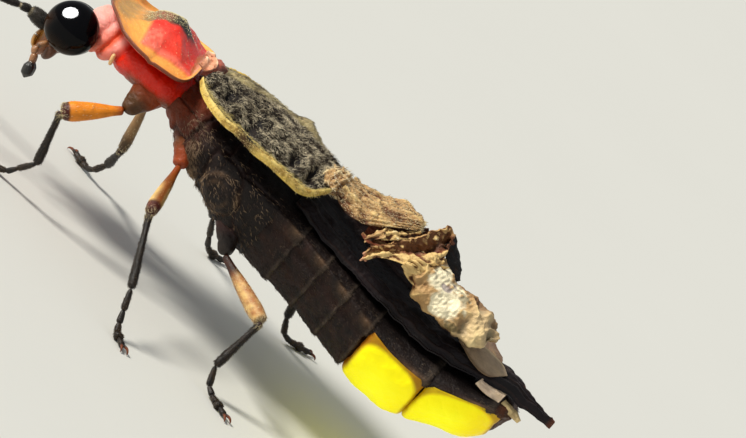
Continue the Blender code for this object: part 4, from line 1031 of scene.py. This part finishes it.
def makeLeftFolds():
    low = [(6.72, -1.52, 4.98), (7.01, -1.56, 4.84), (7.38, -1.56, 4.82), (7.70, -1.52, 4.90),
           (8.08, -1.40, 5.12), (8.43, -1.20, 5.34), (8.76, -0.90, 5.46)]
    high = [(6.80, -0.25, 5.14), (7.21, -0.25, 5.24), (7.63, -0.25, 5.35), (8.05, -0.28, 5.54),
            (8.40, -0.36, 5.58), (8.62, -0.52, 5.54)]
    grid = crushedSheet(
        "wing_case_left_fold", low, high, (0, -0.16, 0.13), folds["tan"], 111, ["elytron_left_fold"],
        rows=220, columns=150, size=0.27, depth=0.12, stretch=(2.2, 1, 1), ridges=(9, 0.016),
        paintMore=[(lambda p, u, v: ease(u, 0.94, 0.98) * 0.8, folds["straw"]),
                   (lambda p, u, v: ease(v, 0.05, 0.0) * 0.6, folds["dark"]),
                   (lambda p, u, v: hump(u, 0.62, 0.10) * hump(v, 0.42, 0.12) * 0.7, folds["brown"])])
    roots = scatter(grid, 2600, 113, 1)
    hairs("wing_case_left_fold_down", roots, np.array([1.0, 0, 0.2]), 0.07, 0.0045, 0.35,
          tinted(2600, (240, 222, 176), (roots["draw"].random(2600) < 0.4, (84, 56, 34))))
    # the lump where the sound part ends
    ball, way = ballGrid((6.58, -0.86, 4.99), (0.36, 0.66, 0.27), 90, 110, 0.03)
    height = crush(ball, 0.26, 115)
    ball += way * (0.13 * height + 0.03 * waves(ball, 0.2, 116))[..., None]
    p, hill = onTube(ball), onTube(height)
    # painted light by the crease height: brown in the hollows is painted shade, straw on the crests painted
    # highlight
    tint = tinted(len(p), folds["tan"], (ease(hill, -0.05, -0.30), folds["brown"]),
                  (ease(hill, 0.05, 0.4), folds["straw"]))
    makePiece("wing_case_left_lump", closedTube(ball), finishes["crumpled"], tint, sharp=75)
    roots = scatter(ball, 1500, 117, -1)
    hairs("wing_case_left_lump_down", roots, np.array([0.8, -0.4, 0.2]), 0.11, 0.0050, 0.5,
          tinted(1500, (246, 232, 196), (roots["draw"].random(1500) < 0.35, (96, 68, 42))))
    # the red-brown hollow between the flat fold and the cross ridge, and the fold that crosses it
    low = [(7.75, -1.60, 4.66), (8.10, -1.70, 4.68), (8.45, -1.50, 4.86), (8.75, -1.20, 5.04),
           (9.0, -0.70, 5.3)]
    high = [(7.70, -1.20, 5.02), (8.00, -1.14, 5.14), (8.35, -0.94, 5.30), (8.65, -0.70, 5.42),
            (8.8, -0.5, 5.50)]
    # the dark towards its upper edge, which lies under the flat fold, is painted shade
    crushedSheet("wing_case_left_hollow", low, high, (0.05, 0.10, -0.12), folds["brown"], 121,
                 rows=110, columns=70, size=0.25, depth=0.10,
                 paintMore=[(lambda p, u, v: 0.65 + 0 * u, folds["rust"]),
                            (lambda p, u, v: ease(v, 0.5, 1.0) * 0.7, folds["dark"])])
    low = [(7.93, -1.68, 4.58), (8.06, -1.65, 4.78), (8.22, -1.60, 4.98)]
    high = [(7.92, -1.52, 4.72), (8.00, -1.46, 4.92), (8.10, -1.40, 5.12)]
    crushedSheet("wing_case_left_spur", low, high, (-0.05, -0.05, 0.02), folds["tan"], 125,
                 rows=70, columns=40, size=0.16, depth=0.06, ridges=(2, 0.03))
    low = [(8.18, -1.58, 4.86), (8.40, -1.44, 5.02), (8.62, -1.22, 5.20), (8.80, -0.98, 5.36)]
    high = [(8.10, -1.40, 5.04), (8.32, -1.26, 5.18), (8.54, -1.04, 5.32), (8.74, -0.82, 5.46)]
    crushedSheet("wing_case_left_rib", low, high, (-0.04, -0.06, 0.05), folds["gold"], 127,
                 rows=90, columns=36, size=0.16, depth=0.07, ridges=(2, 0.03))
    # the cross ridge: its outer face with a hollow in it, a rolled crest and a rolled foot
    crest = [(8.10, -1.93, 4.42), (8.10, -1.84, 4.66), (8.36, -1.62, 4.90), (8.64, -1.26, 5.20),
             (8.90, -0.86, 5.56), (9.12, -0.46, 5.82), (9.34, -0.34, 5.76)]
    foot = [(8.14, -1.95, 4.26), (8.34, -1.90, 4.52), (8.56, -1.80, 4.70), (8.97, -1.66, 4.84),
            (9.24, -1.46, 5.00), (9.44, -1.22, 5.16), (9.58, -1.00, 5.24)]
    middle = [(8.16, -1.86, 4.34), (8.30, -1.72, 4.58), (8.52, -1.50, 4.78), (8.86, -1.20, 4.98),
              (9.12, -0.92, 5.18), (9.30, -0.72, 5.40), (9.44, -0.62, 5.50)]
    along = np.linspace(0, 1, 190)[:, None, None]
    sunk = ease(along, 0.32, 0.48) * ease(along, 0.97, 0.88)
    bulge = np.array([-0.02, -0.04, 0.06]) * (1 - sunk) + np.array([0.05, 0.16, -0.08]) * sunk
    # the rust and dark low on its outer face, in the hollow, are painted shade
    crushedSheet("wing_case_left_ridge", middle, crest, bulge, folds["tan"], 131,
                 ["elytron_left_ridge"], rows=190, columns=80, size=0.30, depth=0.16, stretch=(1.1, 1, 1),
                 ridges=(1.5, 0.03),
                 paintMore=[(lambda p, u, v: ease(u, 0.06, 0.0) * 0.8, folds["pink"]),
                            (lambda p, u, v: ease(v, 0.80, 0.50) * ease(u, 0.32, 0.46) * 0.85, folds["rust"]),
                            (lambda p, u, v: ease(v, 0.45, 0.20) * ease(u, 0.40, 0.50) * 0.7, folds["dark"]),
                            (lambda p, u, v: ease(u, 0.86, 0.95) * 0.5, folds["brown"])])
    # the rust and dark along the foot's upper edge, below the hollow, are painted shade
    crushedSheet("wing_case_left_ridge_foot", foot, middle, (-0.03, -0.06, 0.05), folds["gold"], 135,
                 rows=190, columns=80, size=0.28, depth=0.13, stretch=(1.5, 1, 1), ridges=(2, 0.03),
                 paintMore=[(lambda p, u, v: ease(u, 0.05, 0.0) * 0.8, folds["pink"]),
                            (lambda p, u, v: ease(v, 0.60, 0.9) * ease(u, 0.25, 0.45) * 0.9, folds["rust"]),
                            (lambda p, u, v: ease(v, 0.8, 1.0) * ease(u, 0.4, 0.6) * 0.8, folds["dark"])])
    back = [(8.30, -1.60, 4.40), (8.62, -1.45, 4.72), (8.94, -1.10, 4.96), (9.20, -0.75, 5.16),
            (9.44, -0.36, 5.3)]
    crushedSheet("wing_case_left_ridge_back", crest[1:6], back, (0.05, 0.02, 0.04), folds["brown"], 133,
                 rows=90, columns=50, size=0.22, depth=0.08)
    # the dark flap that hangs from the ridge's inner corner
    low = [(9.30, -0.66, 5.50), (9.52, -0.64, 5.30), (9.78, -0.60, 5.12), (10.05, -0.56, 5.00)]
    high = [(9.36, -0.32, 5.72), (9.56, -0.30, 5.56), (9.82, -0.30, 5.36), (10.08, -0.34, 5.10)]
    crushedSheet("wing_case_left_flap", low, high, (0.06, 0.0, 0.04), folds["black"], 141,
                 rows=90, columns=50, size=0.24, depth=0.08,
                 paintMore=[(lambda p, u, v: 0.9 + 0 * u, folds["black"])])
    # the tan folds that join the ridge to the balled end
    low = [(8.90, -1.62, 4.74), (9.12, -1.58, 4.62), (9.36, -1.52, 4.56), (9.60, -1.45, 4.60)]
    high = [(8.98, -1.50, 5.00), (9.30, -1.34, 5.14), (9.52, -1.12, 5.20), (9.72, -0.90, 5.24)]
    crushedSheet("wing_case_left_link", low, high, (-0.03, -0.10, 0.04), folds["gold"], 145,
                 rows=110, columns=100, size=0.24, depth=0.12, ridges=(3, 0.03))


def makeBalledEnd():
    # a packet of folds: rings between a lower and an upper line, crushed at three sizes
    t = np.linspace(0, 1, 250)
    x = 8.92 + 2.72 * t
    at = (8.93, 9.31, 9.71, 10.11, 10.71, 11.08, 11.40, 11.64)
    low = through(at, np.array([[4.70], [4.42], [4.28], [4.26], [4.20], [4.22], [4.34], [4.60]]), x)[:, 0]
    high = through(at, np.array([[4.98], [5.20], [5.20], [5.06], [5.10], [5.06], [4.98], [4.85]]), x)[:, 0]
    depth = 0.50 * np.clip(1 - np.abs(2 * t - 1) ** 5, 0, 1) ** 0.5 + 0.02
    round1 = np.clip(1 - np.abs(2 * t - 1) ** 9, 0, 1) ** 0.5
    angles = np.linspace(0, turn, 250, endpoint=False)
    mid, half = (low + high)[:, None] / 2, (high - low)[:, None] / 2 * round1[:, None]
    leaning = depth[:, None] * np.cos(angles) + 0.22 * np.sin(angles) * round1[:, None]
    y = -1.12 + 0.30 * t[:, None] + leaning
    grid = np.stack([x[:, None] + 0 * y, y, mid + half * np.sin(angles)], -1)
    out = facing(grid, -1)
    height = crush(grid, 0.62, 151, (1.2, 1, 1), 0.30, 0.05) - 0.55 * np.abs(waves(grid, 0.9, 157, 2)) + 0.2
    soft = waves(grid, 0.35, 153)
    smooth = 1 - 0.95 * spot(grid, 10.24, -1.3, 0.36, 0.8) - 0.8 * spot(grid, 9.72, -1.2, 0.24, 0.8)
    grid = grid + out * (0.26 * height * smooth + 0.03 * soft)[..., None]
    p = onTube(grid)
    hill, blot = onTube(height * smooth), onTube(soft)
    px, pz = p[:, 0], p[:, 2]
    outer = ease(p[:, 1], -0.4, -0.85)

    def patch(x0, z0, wide, tall, rag=0.45):
        # a patch with a ragged edge on the outer side
        far = ((px - x0) / wide) ** 2 + ((pz - z0) / tall) ** 2 + rag * blot
        return ease(far, 1.25, 0.60) * outer

    # painted light by the crease height: brown and dark in the hollows are painted shade, gold and straw on
    # the crests painted highlight; the two cream patches are painted highlights, and the dark low on the rear
    # is painted shadow on its underside
    tint = tinted(len(p), folds["tan"],
                  (ease(hill, -0.05, -0.28), folds["brown"]), (ease(hill, 0.02, 0.35), folds["gold"]),
                  (ease(hill, -0.30, -0.55), folds["dark"]), (ease(hill, 0.25, 0.60), folds["straw"]),
                  (ease(px, 10.5, 11.0) * 0.4, folds["straw"]),
                  (patch(9.75, 5.04, 0.26, 0.24) * 0.9, folds["cream"]),
                  (patch(10.24, 4.72, 0.40, 0.38) * 0.9, folds["cream"]),
                  (patch(10.02, 4.96, 0.14, 0.06, 0.8) * 0.7, folds["purple"]),
                  (patch(10.42, 4.98, 0.16, 0.06, 0.8) * 0.6, folds["olive"]),
                  (patch(10.66, 4.44, 0.24, 0.10, 0.8) * 0.8, folds["olive"]),
                  (ease(pz, 4.38, 4.24) * ease(px, 10.2, 10.6), folds["dark"]),
                  (ease(p[:, 1], -0.9, -0.6) * 0.6, folds["brown"]))
    makePiece("wing_case_left_end", closedTube(grid), finishes["crumpled"], tint,
              ["elytron_left_tip"], sharp=75)


rightCase = {
    "margin": [(2.88, 1.60, 4.45), (3.15, 2.02, 4.44), (3.75, 2.16, 4.52), (4.80, 2.18, 4.50),
               (5.90, 2.02, 4.42), (6.90, 1.72, 4.30), (8.00, 1.54, 4.22), (9.20, 1.38, 4.22),
               (10.00, 1.16, 4.28)],
    "seam": [(2.98, 0.66, 4.58), (3.60, 0.10, 4.84), (4.50, 0.10, 5.00), (5.30, 0.10, 5.04),
             (6.30, 0.18, 4.90), (7.30, 0.22, 4.78), (8.40, 0.20, 4.78), (9.40, 0.22, 4.76),
             (9.98, 0.32, 4.70)],
    "dark": (24, 18, 16), "tan": (200, 178, 130), "olive": (158, 148, 100), "hairs": 6000,
}


def makeRightCase():
    # the far wing case: whole down its length, its inner edge raised in pale olive lobes
    look = rightCase
    rows, columns = 300, 110
    grid = caseGrid(look["margin"], look["seam"], rows, columns, 0.08)
    u, v = shares(rows, columns)
    out = facing(grid, -1)
    x = grid[..., 0]
    lobes = hump(v, 0.74, 0.16) * (0.14 * hump(x, 3.45, 0.32) + 0.06 * hump(x, 4.1, 0.2)
                                   + 0.20 * hump(x, 5.25, 0.42) + 0.10 * hump(x, 7.6, 0.6))
    late = ease(x, 6.0, 7.0)
    crushed = creases(grid, 0.34, 161, (2.2, 1, 1)) - 0.5
    grid = grid + out * (lobes + 0.025 * waves(grid, 0.4, 162) + 0.10 * late * crushed)[..., None]
    roll = hump(v, 0.045, 0.035)
    grid = grid + out * (0.05 * roll)[..., None]
    shape = closedSheet(grid, grid - facing(grid, -1) * 0.05)
    p, edge = shape[0], onSheet(v)
    raised = onSheet(np.clip(lobes / 0.08, 0, 1))
    blot = blots(p, 0.35, 163)
    rimWide = ease(edge, 0.10, 0.07)
    tint = tinted(len(p), look["dark"], (0.5 * blot, (70, 54, 40)),
                  (raised * 0.85, look["olive"]), (raised * blot * 0.9, look["tan"]),
                  (rimWide * ease(p[:, 0], 6.6, 6.2), leftCase["yellow"]),
                  (onSheet(late) * (0.35 + 0.4 * blot), (112, 84, 56)))
    makePiece("wing_case_right", shape, finishes["case"], tint,
              ["elytron_right_base", "elytron_right_rear"], sharp=60)
    roots = scatter(grid, look["hairs"], 165, -1, ease(v, 0.05, 0.12) * (1 - 0.9 * late))
    light = blots(roots["at"], 0.4, 166)
    colour = tinted(look["hairs"], (206, 192, 150), (1 - light, (104, 92, 72)))
    hairs("wing_case_right_coat", roots, np.array([0.9, 0.35, 0]), 0.11, 0.0055, 0.3, colour)
    # the grey-tan lobe that droops behind
    low = [(10.20, 1.20, 4.42), (10.80, 1.22, 4.26), (11.40, 1.08, 4.14), (11.95, 0.74, 4.04)]
    high = [(10.20, 0.10, 4.54), (10.85, 0.02, 4.30), (11.55, -0.02, 4.10), (12.10, 0.20, 3.94)]
    crushedSheet("wing_case_right_lobe", low, high, (0.0, 0.0, 0.14), (142, 116, 92), 171,
                 ["elytron_right_tip"], size=0.45, depth=0.07, thick=0.04,
                 paintMore=[(lambda p, u, v: 0.6 + 0 * u, (146, 120, 98)),
                            (lambda p, u, v: ease(v, 0.9, 1.0) * 0.7, (196, 168, 120))])
    # its torn tip, which lies across the near hind wing
    low = [(10.95, -0.72, 4.10), (11.22, -0.85, 4.06), (11.50, -0.98, 4.01), (11.80, -1.02, 3.99),
           (12.06, -0.92, 4.02), (12.30, -0.55, 4.12)]
    high = [(10.86, -0.40, 4.18), (11.16, -0.36, 4.22), (11.47, -0.30, 4.25), (11.85, -0.26, 4.24),
            (12.14, -0.28, 4.22), (12.34, -0.42, 4.15)]
    crushedSheet("wing_case_right_torn_tip", low, high, (0.0, -0.03, 0.03), (176, 152, 122), 175,
                 rows=90, columns=50, size=0.5, depth=0.04, thick=0.03,
                 paintMore=[(lambda p, u, v: 0.75 + 0 * u, (176, 152, 122)),
                            (lambda p, u, v: ease(v, 0.88, 1.0) * 0.8, (226, 204, 160)),
                            (lambda p, u, v: ease(v, 0.12, 0.0) * 0.7, (110, 84, 60))])


makeLeftCase()
makeLeftFolds()
makeBalledEnd()
makeRightCase()
print("wing cases")


# Hind wings.

hindWings = {
    "start": 6.20, "ends": {"left": 13.82, "right": 12.9},
    "black": (15, 10, 11), "vein": (34, 22, 18), "sheen": (44, 32, 36), "tip": (96, 48, 24),
}


def trunkTop(x, y):
    # height of the trunk's upper arch
    lines = np.asarray(trunk["lines"], float)
    width, top, edge = np.moveaxis(through(lines[:, 0], lines[:, 1:4], np.clip(x, 2.6, 13.0)), -1, 0)
    inside = np.clip(np.abs(y) / width, 0, 1) ** (1 / 0.85)
    return edge + (top - edge) * np.sqrt(1 - inside ** 2)


def makeHindWings():
    # a folded membrane lying on the abdomen: long pleats and raised veins, drawn out to a narrow tip
    for side, s in (("left", -1), ("right", 1)):
        end = hindWings["ends"][side]
        rows, columns = 220, 120
        u, v = shares(rows, columns)
        x = hindWings["start"] + (end - hindWings["start"]) * u
        outer = np.interp(u, (0, 0.12, 0.55, 0.80, 0.97, 1), (1.25, 1.42, 1.40, 0.86, 0.22, 0.04))
        # the far wing's inner edge lies under the near wing's, so no light shows between the two
        under = 0.26 * ease(u, 1.0, 0.9) if side == "right" else 0
        inner = np.interp(u, (0, 0.8, 1), (0.06, 0.04, 0.02)) - under
        y = s * (inner + (outer - inner) * v)
        lie = trunkTop(x, y) + 0.24 + 0.10 * ease(u, 0.1, 0.5) - 0.5 * under * ease(v, 0.26, 0.10)
        lie = lie - 0.10 * np.clip(x - 12.6, 0, None) - 0.16 * ease(v, 0.75, 1.0)
        lie = lie + 0.9 * under * ease(x, 10.9, 10.2) * hump(v, 0.5, 0.2)
        z = lie + 0.075 * np.abs(((v * 3.5 + 0.35 * u) % 1) * 2 - 1) * np.interp(u, (0, .8, 1), (1, 1, .3))
        veins = sum(hump(v, k + 0.05 * np.sin(4 * u + 9 * k), 0.012) for k in (0.22, 0.47, 0.71, 0.93))
        z = z + 0.03 * veins
        grid = np.stack([x, y, z], -1)
        grid[..., 2] += 0.02 * waves(grid, 0.4, 181)
        shape = closedSheet(grid, grid - facing(grid, -s) * 0.03)
        p, vein = shape[0], onSheet(np.clip(veins, 0, 1))
        tint = tinted(len(p), hindWings["black"], (vein, hindWings["vein"]),
                      (0.35 * blots(p, 0.9, 183), hindWings["sheen"]),
                      (ease(p[:, 0], end - 0.16, end - 0.02), hindWings["tip"]))
        makePiece("hind_wing_folded_" + side, shape, finishes["film"], tint, ["hind_wing_" + side],
                  sharp=60)
    # two pale torn flakes beside the abdomen's end
    for k, (low, high, colour) in enumerate((
            ([(11.90, -1.10, 3.70), (12.25, -1.04, 3.66), (12.58, -0.86, 3.66)],
             [(11.96, -0.84, 3.86), (12.30, -0.76, 3.86), (12.60, -0.60, 3.90)], (252, 222, 188)),
            ([(12.62, -0.82, 3.58), (12.92, -0.66, 3.54), (13.20, -0.48, 3.48)],
             [(12.66, -0.56, 3.74), (12.96, -0.44, 3.68), (13.24, -0.34, 3.56)], (236, 206, 146)))):
        crushedSheet(f"wing_flake_{k}", low, high, (0, -0.03, 0.03), colour, 190 + k, rows=40, columns=24,
                     size=0.2, depth=0.04, thick=0.03,
                     paintMore=[(lambda p, u, v: 0.7 + 0 * u, colour)])


makeHindWings()
print("hind wings")


# Legs.

legs = {
    # coxa root, coxa end, knee, ankle, where the foot meets the floor, toe
    "front_left": [(2.15, -0.75, 3.80), (1.94, -1.30, 3.00), (0.91, -1.90, 2.18),
                   (1.28, -1.80, 0.86), (0.84, -1.56, 0.12), (0.28, -1.62, 0.085)],
    "mid_left": [(3.45, -0.85, 3.55), (3.70, -1.50, 2.95), (3.92, -3.20, 2.19),
                 (4.75, -4.40, 0.95), (5.14, -4.90, 0.13), (5.46, -5.28, 0.085)],
    "hind_left": [(5.20, -0.75, 2.90), (5.80, -1.36, 2.08), (7.42, -2.60, 1.86),
                  (7.30, -3.22, 0.58), (7.52, -3.45, 0.12), (8.18, -3.98, 0.085)],
    "front_right": [(2.15, 0.75, 3.80), (2.12, 1.22, 3.00), (2.46, 1.62, 1.42),
                    (2.42, 2.72, 0.62), (2.22, 3.02, 0.12), (1.70, 3.50, 0.085)],
    "mid_right": [(3.45, 0.85, 3.55), (3.75, 1.50, 2.95), (4.10, 3.10, 2.35),
                  (5.00, 4.20, 0.92), (5.38, 4.62, 0.12), (5.80, 5.00, 0.085)],
    "hind_right": [(5.20, 0.75, 2.90), (5.80, 1.36, 2.10), (7.50, 2.50, 2.05),
                   (7.76, 3.28, 0.62), (8.00, 3.55, 0.12), (8.66, 4.12, 0.085)],
}
legLook = {
    "orange": (236, 140, 30), "yellow": (240, 206, 130), "rust": (146, 60, 18), "maroon": (64, 20, 14),
    "dark": (32, 22, 16), "black": (18, 15, 12), "claw": (110, 52, 20), "tan": (188, 146, 96),
    "coxaDark": (78, 46, 14), "coxaOrange": (126, 68, 24), "farTan": (158, 128, 86),
    "stout": {"front": 1.18, "mid": 0.86, "hind": 1.0}, "farStout": 0.68,
}


def limb(a, b, radii, steps, sides, rounded=0.05, flat=1.0):
    # a straight joint of a leg, rounded off over the share "rounded" of its length at both ends
    t = np.linspace(0, 1, steps)
    path = np.array(a) + (np.array(b) - np.array(a)) * t[:, None]
    size = through(np.linspace(0, 1, len(radii)), np.array(radii)[:, None], t)[:, 0]
    size = size * np.sqrt(np.clip(1 - (1 - np.clip(t / rounded, 0, 1)) ** 2, 0.02, 1))
    size = size * np.sqrt(np.clip(1 - (1 - np.clip((1 - t) / rounded, 0, 1)) ** 2, 0.02, 1))
    guide = (0, 0, 1) if abs(unit(np.array(b) - np.array(a))[2]) < 0.9 else (1, 0, 0)
    return tubeGrid(path, size, sides, guide, flat), t


def together(shapes):
    # several closed tubes as one shape
    starts = np.cumsum([0] + [len(points) for points, faces in shapes])
    faces = [np.vstack([shape[1][k] + start for shape, start in zip(shapes, starts)]) for k in (0, 1)]
    return np.vstack([points for points, faces in shapes]), faces


def legCoat(name, grid, count, seed, tint, length=0.10, lift=0.6, share=None):
    roots = scatter(grid, count, seed, share=share)
    hairs(name, roots, roots["along"], length, 0.0042, lift, tinted(count, tint), spread=0.25)


def makeLeg(name, joints, seed):
    root, hip, knee, ankle, heel, toe = (np.array(j) for j in joints)
    look, pair, far = legLook, name.split("_")[0], name.endswith("right")
    # coxa: a blunt cone out of the body
    radii = {"front": (0.42, 0.40, 0.34, 0.24, 0.13), "mid": (0.38, 0.36, 0.30, 0.22, 0.14),
             "hind": (0.34, 0.36, 0.30, 0.22, 0.15)}[pair]
    grid, t = limb(root, hip, radii, 60, 48, rounded=0.10)
    grid = grid + facing(grid) * (0.012 * waves(grid, 0.25, seed))[..., None]
    share = onTube(np.repeat(t[:, None], 48, 1))
    nearBody = {"front": look["rust"], "mid": look["coxaOrange"], "hind": look["maroon"]}[pair]
    outward = {"front": look["coxaDark"], "mid": look["rust"], "hind": look["dark"]}[pair]
    makePiece("coxa_joint_" + name, closedTube(grid), finishes["leg"],
              tinted(len(share), nearBody, (ease(share, 0.35, 0.75), outward)), ["coxa_" + name])
    # femur: narrow at its root, thickest just before the dark knee
    stout = look["farStout"] if far else look["stout"][pair]
    radii = np.array((0.085, 0.10, 0.135, 0.165, 0.185, 0.195, 0.15)) * stout
    grid, t = limb(hip, knee, radii, 90, 40, rounded=0.045)
    along = np.repeat(t[:, None], 40, 1)
    share, p = onTube(along), onTube(grid)
    blot = blots(p, 0.3, seed + 1)
    streak = onTube(0.5 + 0.5 * np.cos(np.linspace(0, 2 * turn, 40, endpoint=False))[None] + 0 * grid[..., 0])
    if far:
        base, layers = look["farTan"], [(ease(share, 0.6, 0.9) * 0.8, look["dark"]),
                                        (ease(share, 0.3, 0.0) * 0.8, look["rust"])]
    elif pair == "front":
        base, layers = look["orange"], [(ease(share, 0.22, 0.0), look["rust"]),
                                        (ease(share, 0.86, 0.91), look["maroon"])]
    elif pair == "mid":
        base, layers = look["coxaOrange"], [(streak * ease(share, 0.35, 0.6), look["yellow"]),
                                            (ease(share, 0.35, 0.05) * 0.7, look["rust"]),
                                            (ease(share, 0.80, 0.88), look["maroon"])]
    else:
        base, layers = look["tan"], [(streak * 0.7 * ease(share, 0.3, 0.5), look["yellow"]),
                                     (blot * 0.7, look["rust"]), (ease(share, 0.42, 0.22), look["dark"]),
                                     (ease(share, 0.94, 1.0) * 0.7, look["dark"])]
    makePiece("femur_joint_" + name, closedTube(grid), finishes["leg"],
              tinted(len(share), base, *layers, (blot * 0.15, look["rust"])), ["femur_" + name])
    # short hairs: pale and dense at the knee, sparse elsewhere
    pale = pair == "hind"
    legCoat("femur_down_" + name, grid, 600 if pale else 260, seed + 2, (240, 222, 176), 0.075, 0.35,
            share=(0.6 if pale else 0.25) * ease(along, 0.2, 0.4) + ease(along, 0.88, 0.95))
    # tibia: slender, a little wider at its end
    grid, t = limb(knee, ankle, (0.085, 0.07, 0.072, 0.085, 0.10, 0.095), 70, 28, rounded=0.05)
    along = np.repeat(t[:, None], 28, 1)
    share = onTube(along)
    makePiece("tibia_joint_" + name, closedTube(grid), finishes["leg"],
              tinted(len(share), look["black"], (ease(share, 0.12, 0.0) * 0.6, look["maroon"]),
                     (0.35 * blots(onTube(grid), 0.3, seed + 3), (52, 38, 26))),
              ["tibia_" + name])
    legCoat("tibia_down_" + name, grid, 900, seed + 4, (62, 50, 38), 0.075, 0.45)
    legCoat("knee_down_" + name, grid, 90, seed + 12, (226, 206, 160), 0.075, 0.5,
            share=ease(along, 0.14, 0.04))
    # tarsus: five joints that widen towards their ends, the fourth with two lobes, and the claws
    first, second = np.linalg.norm(heel - ankle), np.linalg.norm(toe - heel)
    bend = first / (first + second)
    ends = (0.0, 0.34, 0.54, 0.70, 0.82, 0.98)

    def where(d):
        # the place at the share d of the way from the ankle by the heel to the toe
        if d < bend:
            return ankle + (heel - ankle) * d / bend
        return heel + (toe - heel) * (d - bend) / (1 - bend)

    shapes, coats = [], []
    for k, (a, b) in enumerate(zip(ends[:-1], ends[1:])):
        wide = (0.055, 0.080, 0.090) if k != 3 else (0.07, 0.12, 0.13)
        grid, t = limb(where(a), where(b + 0.02), wide, 16, 20, rounded=0.2, flat=0.8)
        grid[..., 2] = np.maximum(grid[..., 2], 0.0)
        shapes.append(closedTube(grid))
        coats.append(grid)
    ahead = unit(toe - heel)
    side = unit(np.cross(ahead, (0, 0, 1)))
    for s in (-1, 1):
        path = curve([toe - ahead * 0.04 + side * s * 0.03,
                      toe + ahead * 0.09 + side * s * 0.08 + (0, 0, 0.03),
                      toe + ahead * 0.18 + side * s * 0.10,
                      toe + ahead * 0.22 + side * s * 0.10 - (0, 0, 0.06)], 16)
        path[:, 2] = np.maximum(path[:, 2], 0.012)
        grid = tubeGrid(path, 0.032 * (1 - np.linspace(0, 1, 16) ** 2) + 0.004, 10)
        grid[..., 2] = np.maximum(grid[..., 2], 0.0)
        shapes.append(closedTube(grid))
    p, faces = together(shapes)
    tint = tinted(len(p), look["black"], (0.4 * blots(p, 0.2, seed + 5), (58, 42, 28)),
                  (ease((p - toe) @ ahead, 0.02, 0.10), look["claw"]))
    makePiece("tarsus_joints_" + name, (p, faces), finishes["leg"], tint, ["tarsus_" + name])
    for k, grid in enumerate(coats[:1] + coats[2:4]):
        legCoat(f"tarsus_down_{name}_{k}", grid, 200, seed + 6 + k, (86, 68, 46), 0.06, 0.4)


for index, (legName, legJoints) in enumerate(legs.items()):
    makeLeg(legName, legJoints, 200 + 20 * index)
print("legs")


# Floor, light and camera.

studio = {
    "target": (7.724, 0.0, 4.643), "distance": 400.0, "elevation": 16.0, "roll": 42.0, "lens": 857.9,
    "keyWay": (-0.754, -0.234, 0.614), "keyPower": 4.0, "keySpread": 14.0,
    # the round window that shows in the eyes
    "catchWay": (-0.615, -0.357, 0.703), "catchPower": 84.0, "catchSpread": 50.0,
    "worldPower": 0.36, "floor": (220, 220, 214),
}


def makeStudio():
    mesh = bpy.data.meshes.new("floor")
    side = 3.0
    corners = [(-side, -side, 0), (side, -side, 0), (side, side, 0), (-side, side, 0)]
    mesh.from_pydata(corners, [], [(0, 1, 2, 3)])
    board = Board("paleFloor")
    pale = tuple(fromScreen(studio["floor"]))
    mesh.materials.append(board.finish(board.scaled(pale, 0.98 + board.noise(8.0) * 0.04), 0.6))
    floor = bpy.data.objects.new("floor", mesh)
    bpy.context.scene.collection.objects.link(floor)

    world = bpy.data.worlds.new("studio")
    world.use_nodes = True
    world.node_tree.nodes["Background"].inputs["Color"].default_value = (0.92, 0.96, 1.0, 1)
    world.node_tree.nodes["Background"].inputs["Strength"].default_value = studio["worldPower"]
    bpy.context.scene.world = world

    key = bpy.data.lights.new("key", "SUN")
    key.energy = studio["keyPower"]
    key.angle = math.radians(studio["keySpread"])
    key.color = (1.0, 0.96, 0.88)
    catch = bpy.data.lights.new("catch", "SUN")
    catch.energy = studio["catchPower"]
    catch.angle = math.radians(studio["catchSpread"])
    for light, way in ((key, "keyWay"), (catch, "catchWay")):
        lamp = bpy.data.objects.new(light.name, light)
        lamp.rotation_mode = "QUATERNION"
        lamp.rotation_quaternion = Vector(studio[way]).to_track_quat("Z", "Y")
        bpy.context.scene.collection.objects.link(lamp)
    # the second lamp lights the eyes alone
    lit = bpy.data.collections.new("eyes_lit")
    for eye in eyes:
        lit.objects.link(eye)
    lamp.light_linking.receiver_collection = lit
    lamp.visible_diffuse = False

    camera = bpy.data.objects.new("camera", bpy.data.cameras.new("camera"))
    camera.data.lens = studio["lens"]
    camera.data.sensor_width = 36
    camera.data.clip_start = 0.001
    camera.data.clip_end = 10
    up = math.radians(studio["elevation"])
    back = Vector((0, -math.cos(up), math.sin(up)))
    target = Vector(origin + np.array(studio["target"]) * 0.001)
    camera.location = target + back * studio["distance"] * 0.001
    camera.rotation_mode = "QUATERNION"
    # the photograph is rolled: its right-hand side climbs along the body by this angle
    roll = math.radians(studio["roll"])
    right = Vector((math.cos(roll), math.sin(roll) * math.sin(up), math.sin(roll) * math.cos(up)))
    lift = back.cross(right)
    camera.rotation_quaternion = Matrix((right, lift, back)).transposed().to_quaternion()
    bpy.context.scene.collection.objects.link(camera)
    bpy.context.scene.camera = camera
    bpy.context.scene.view_settings.view_transform = "Standard"


makeStudio()
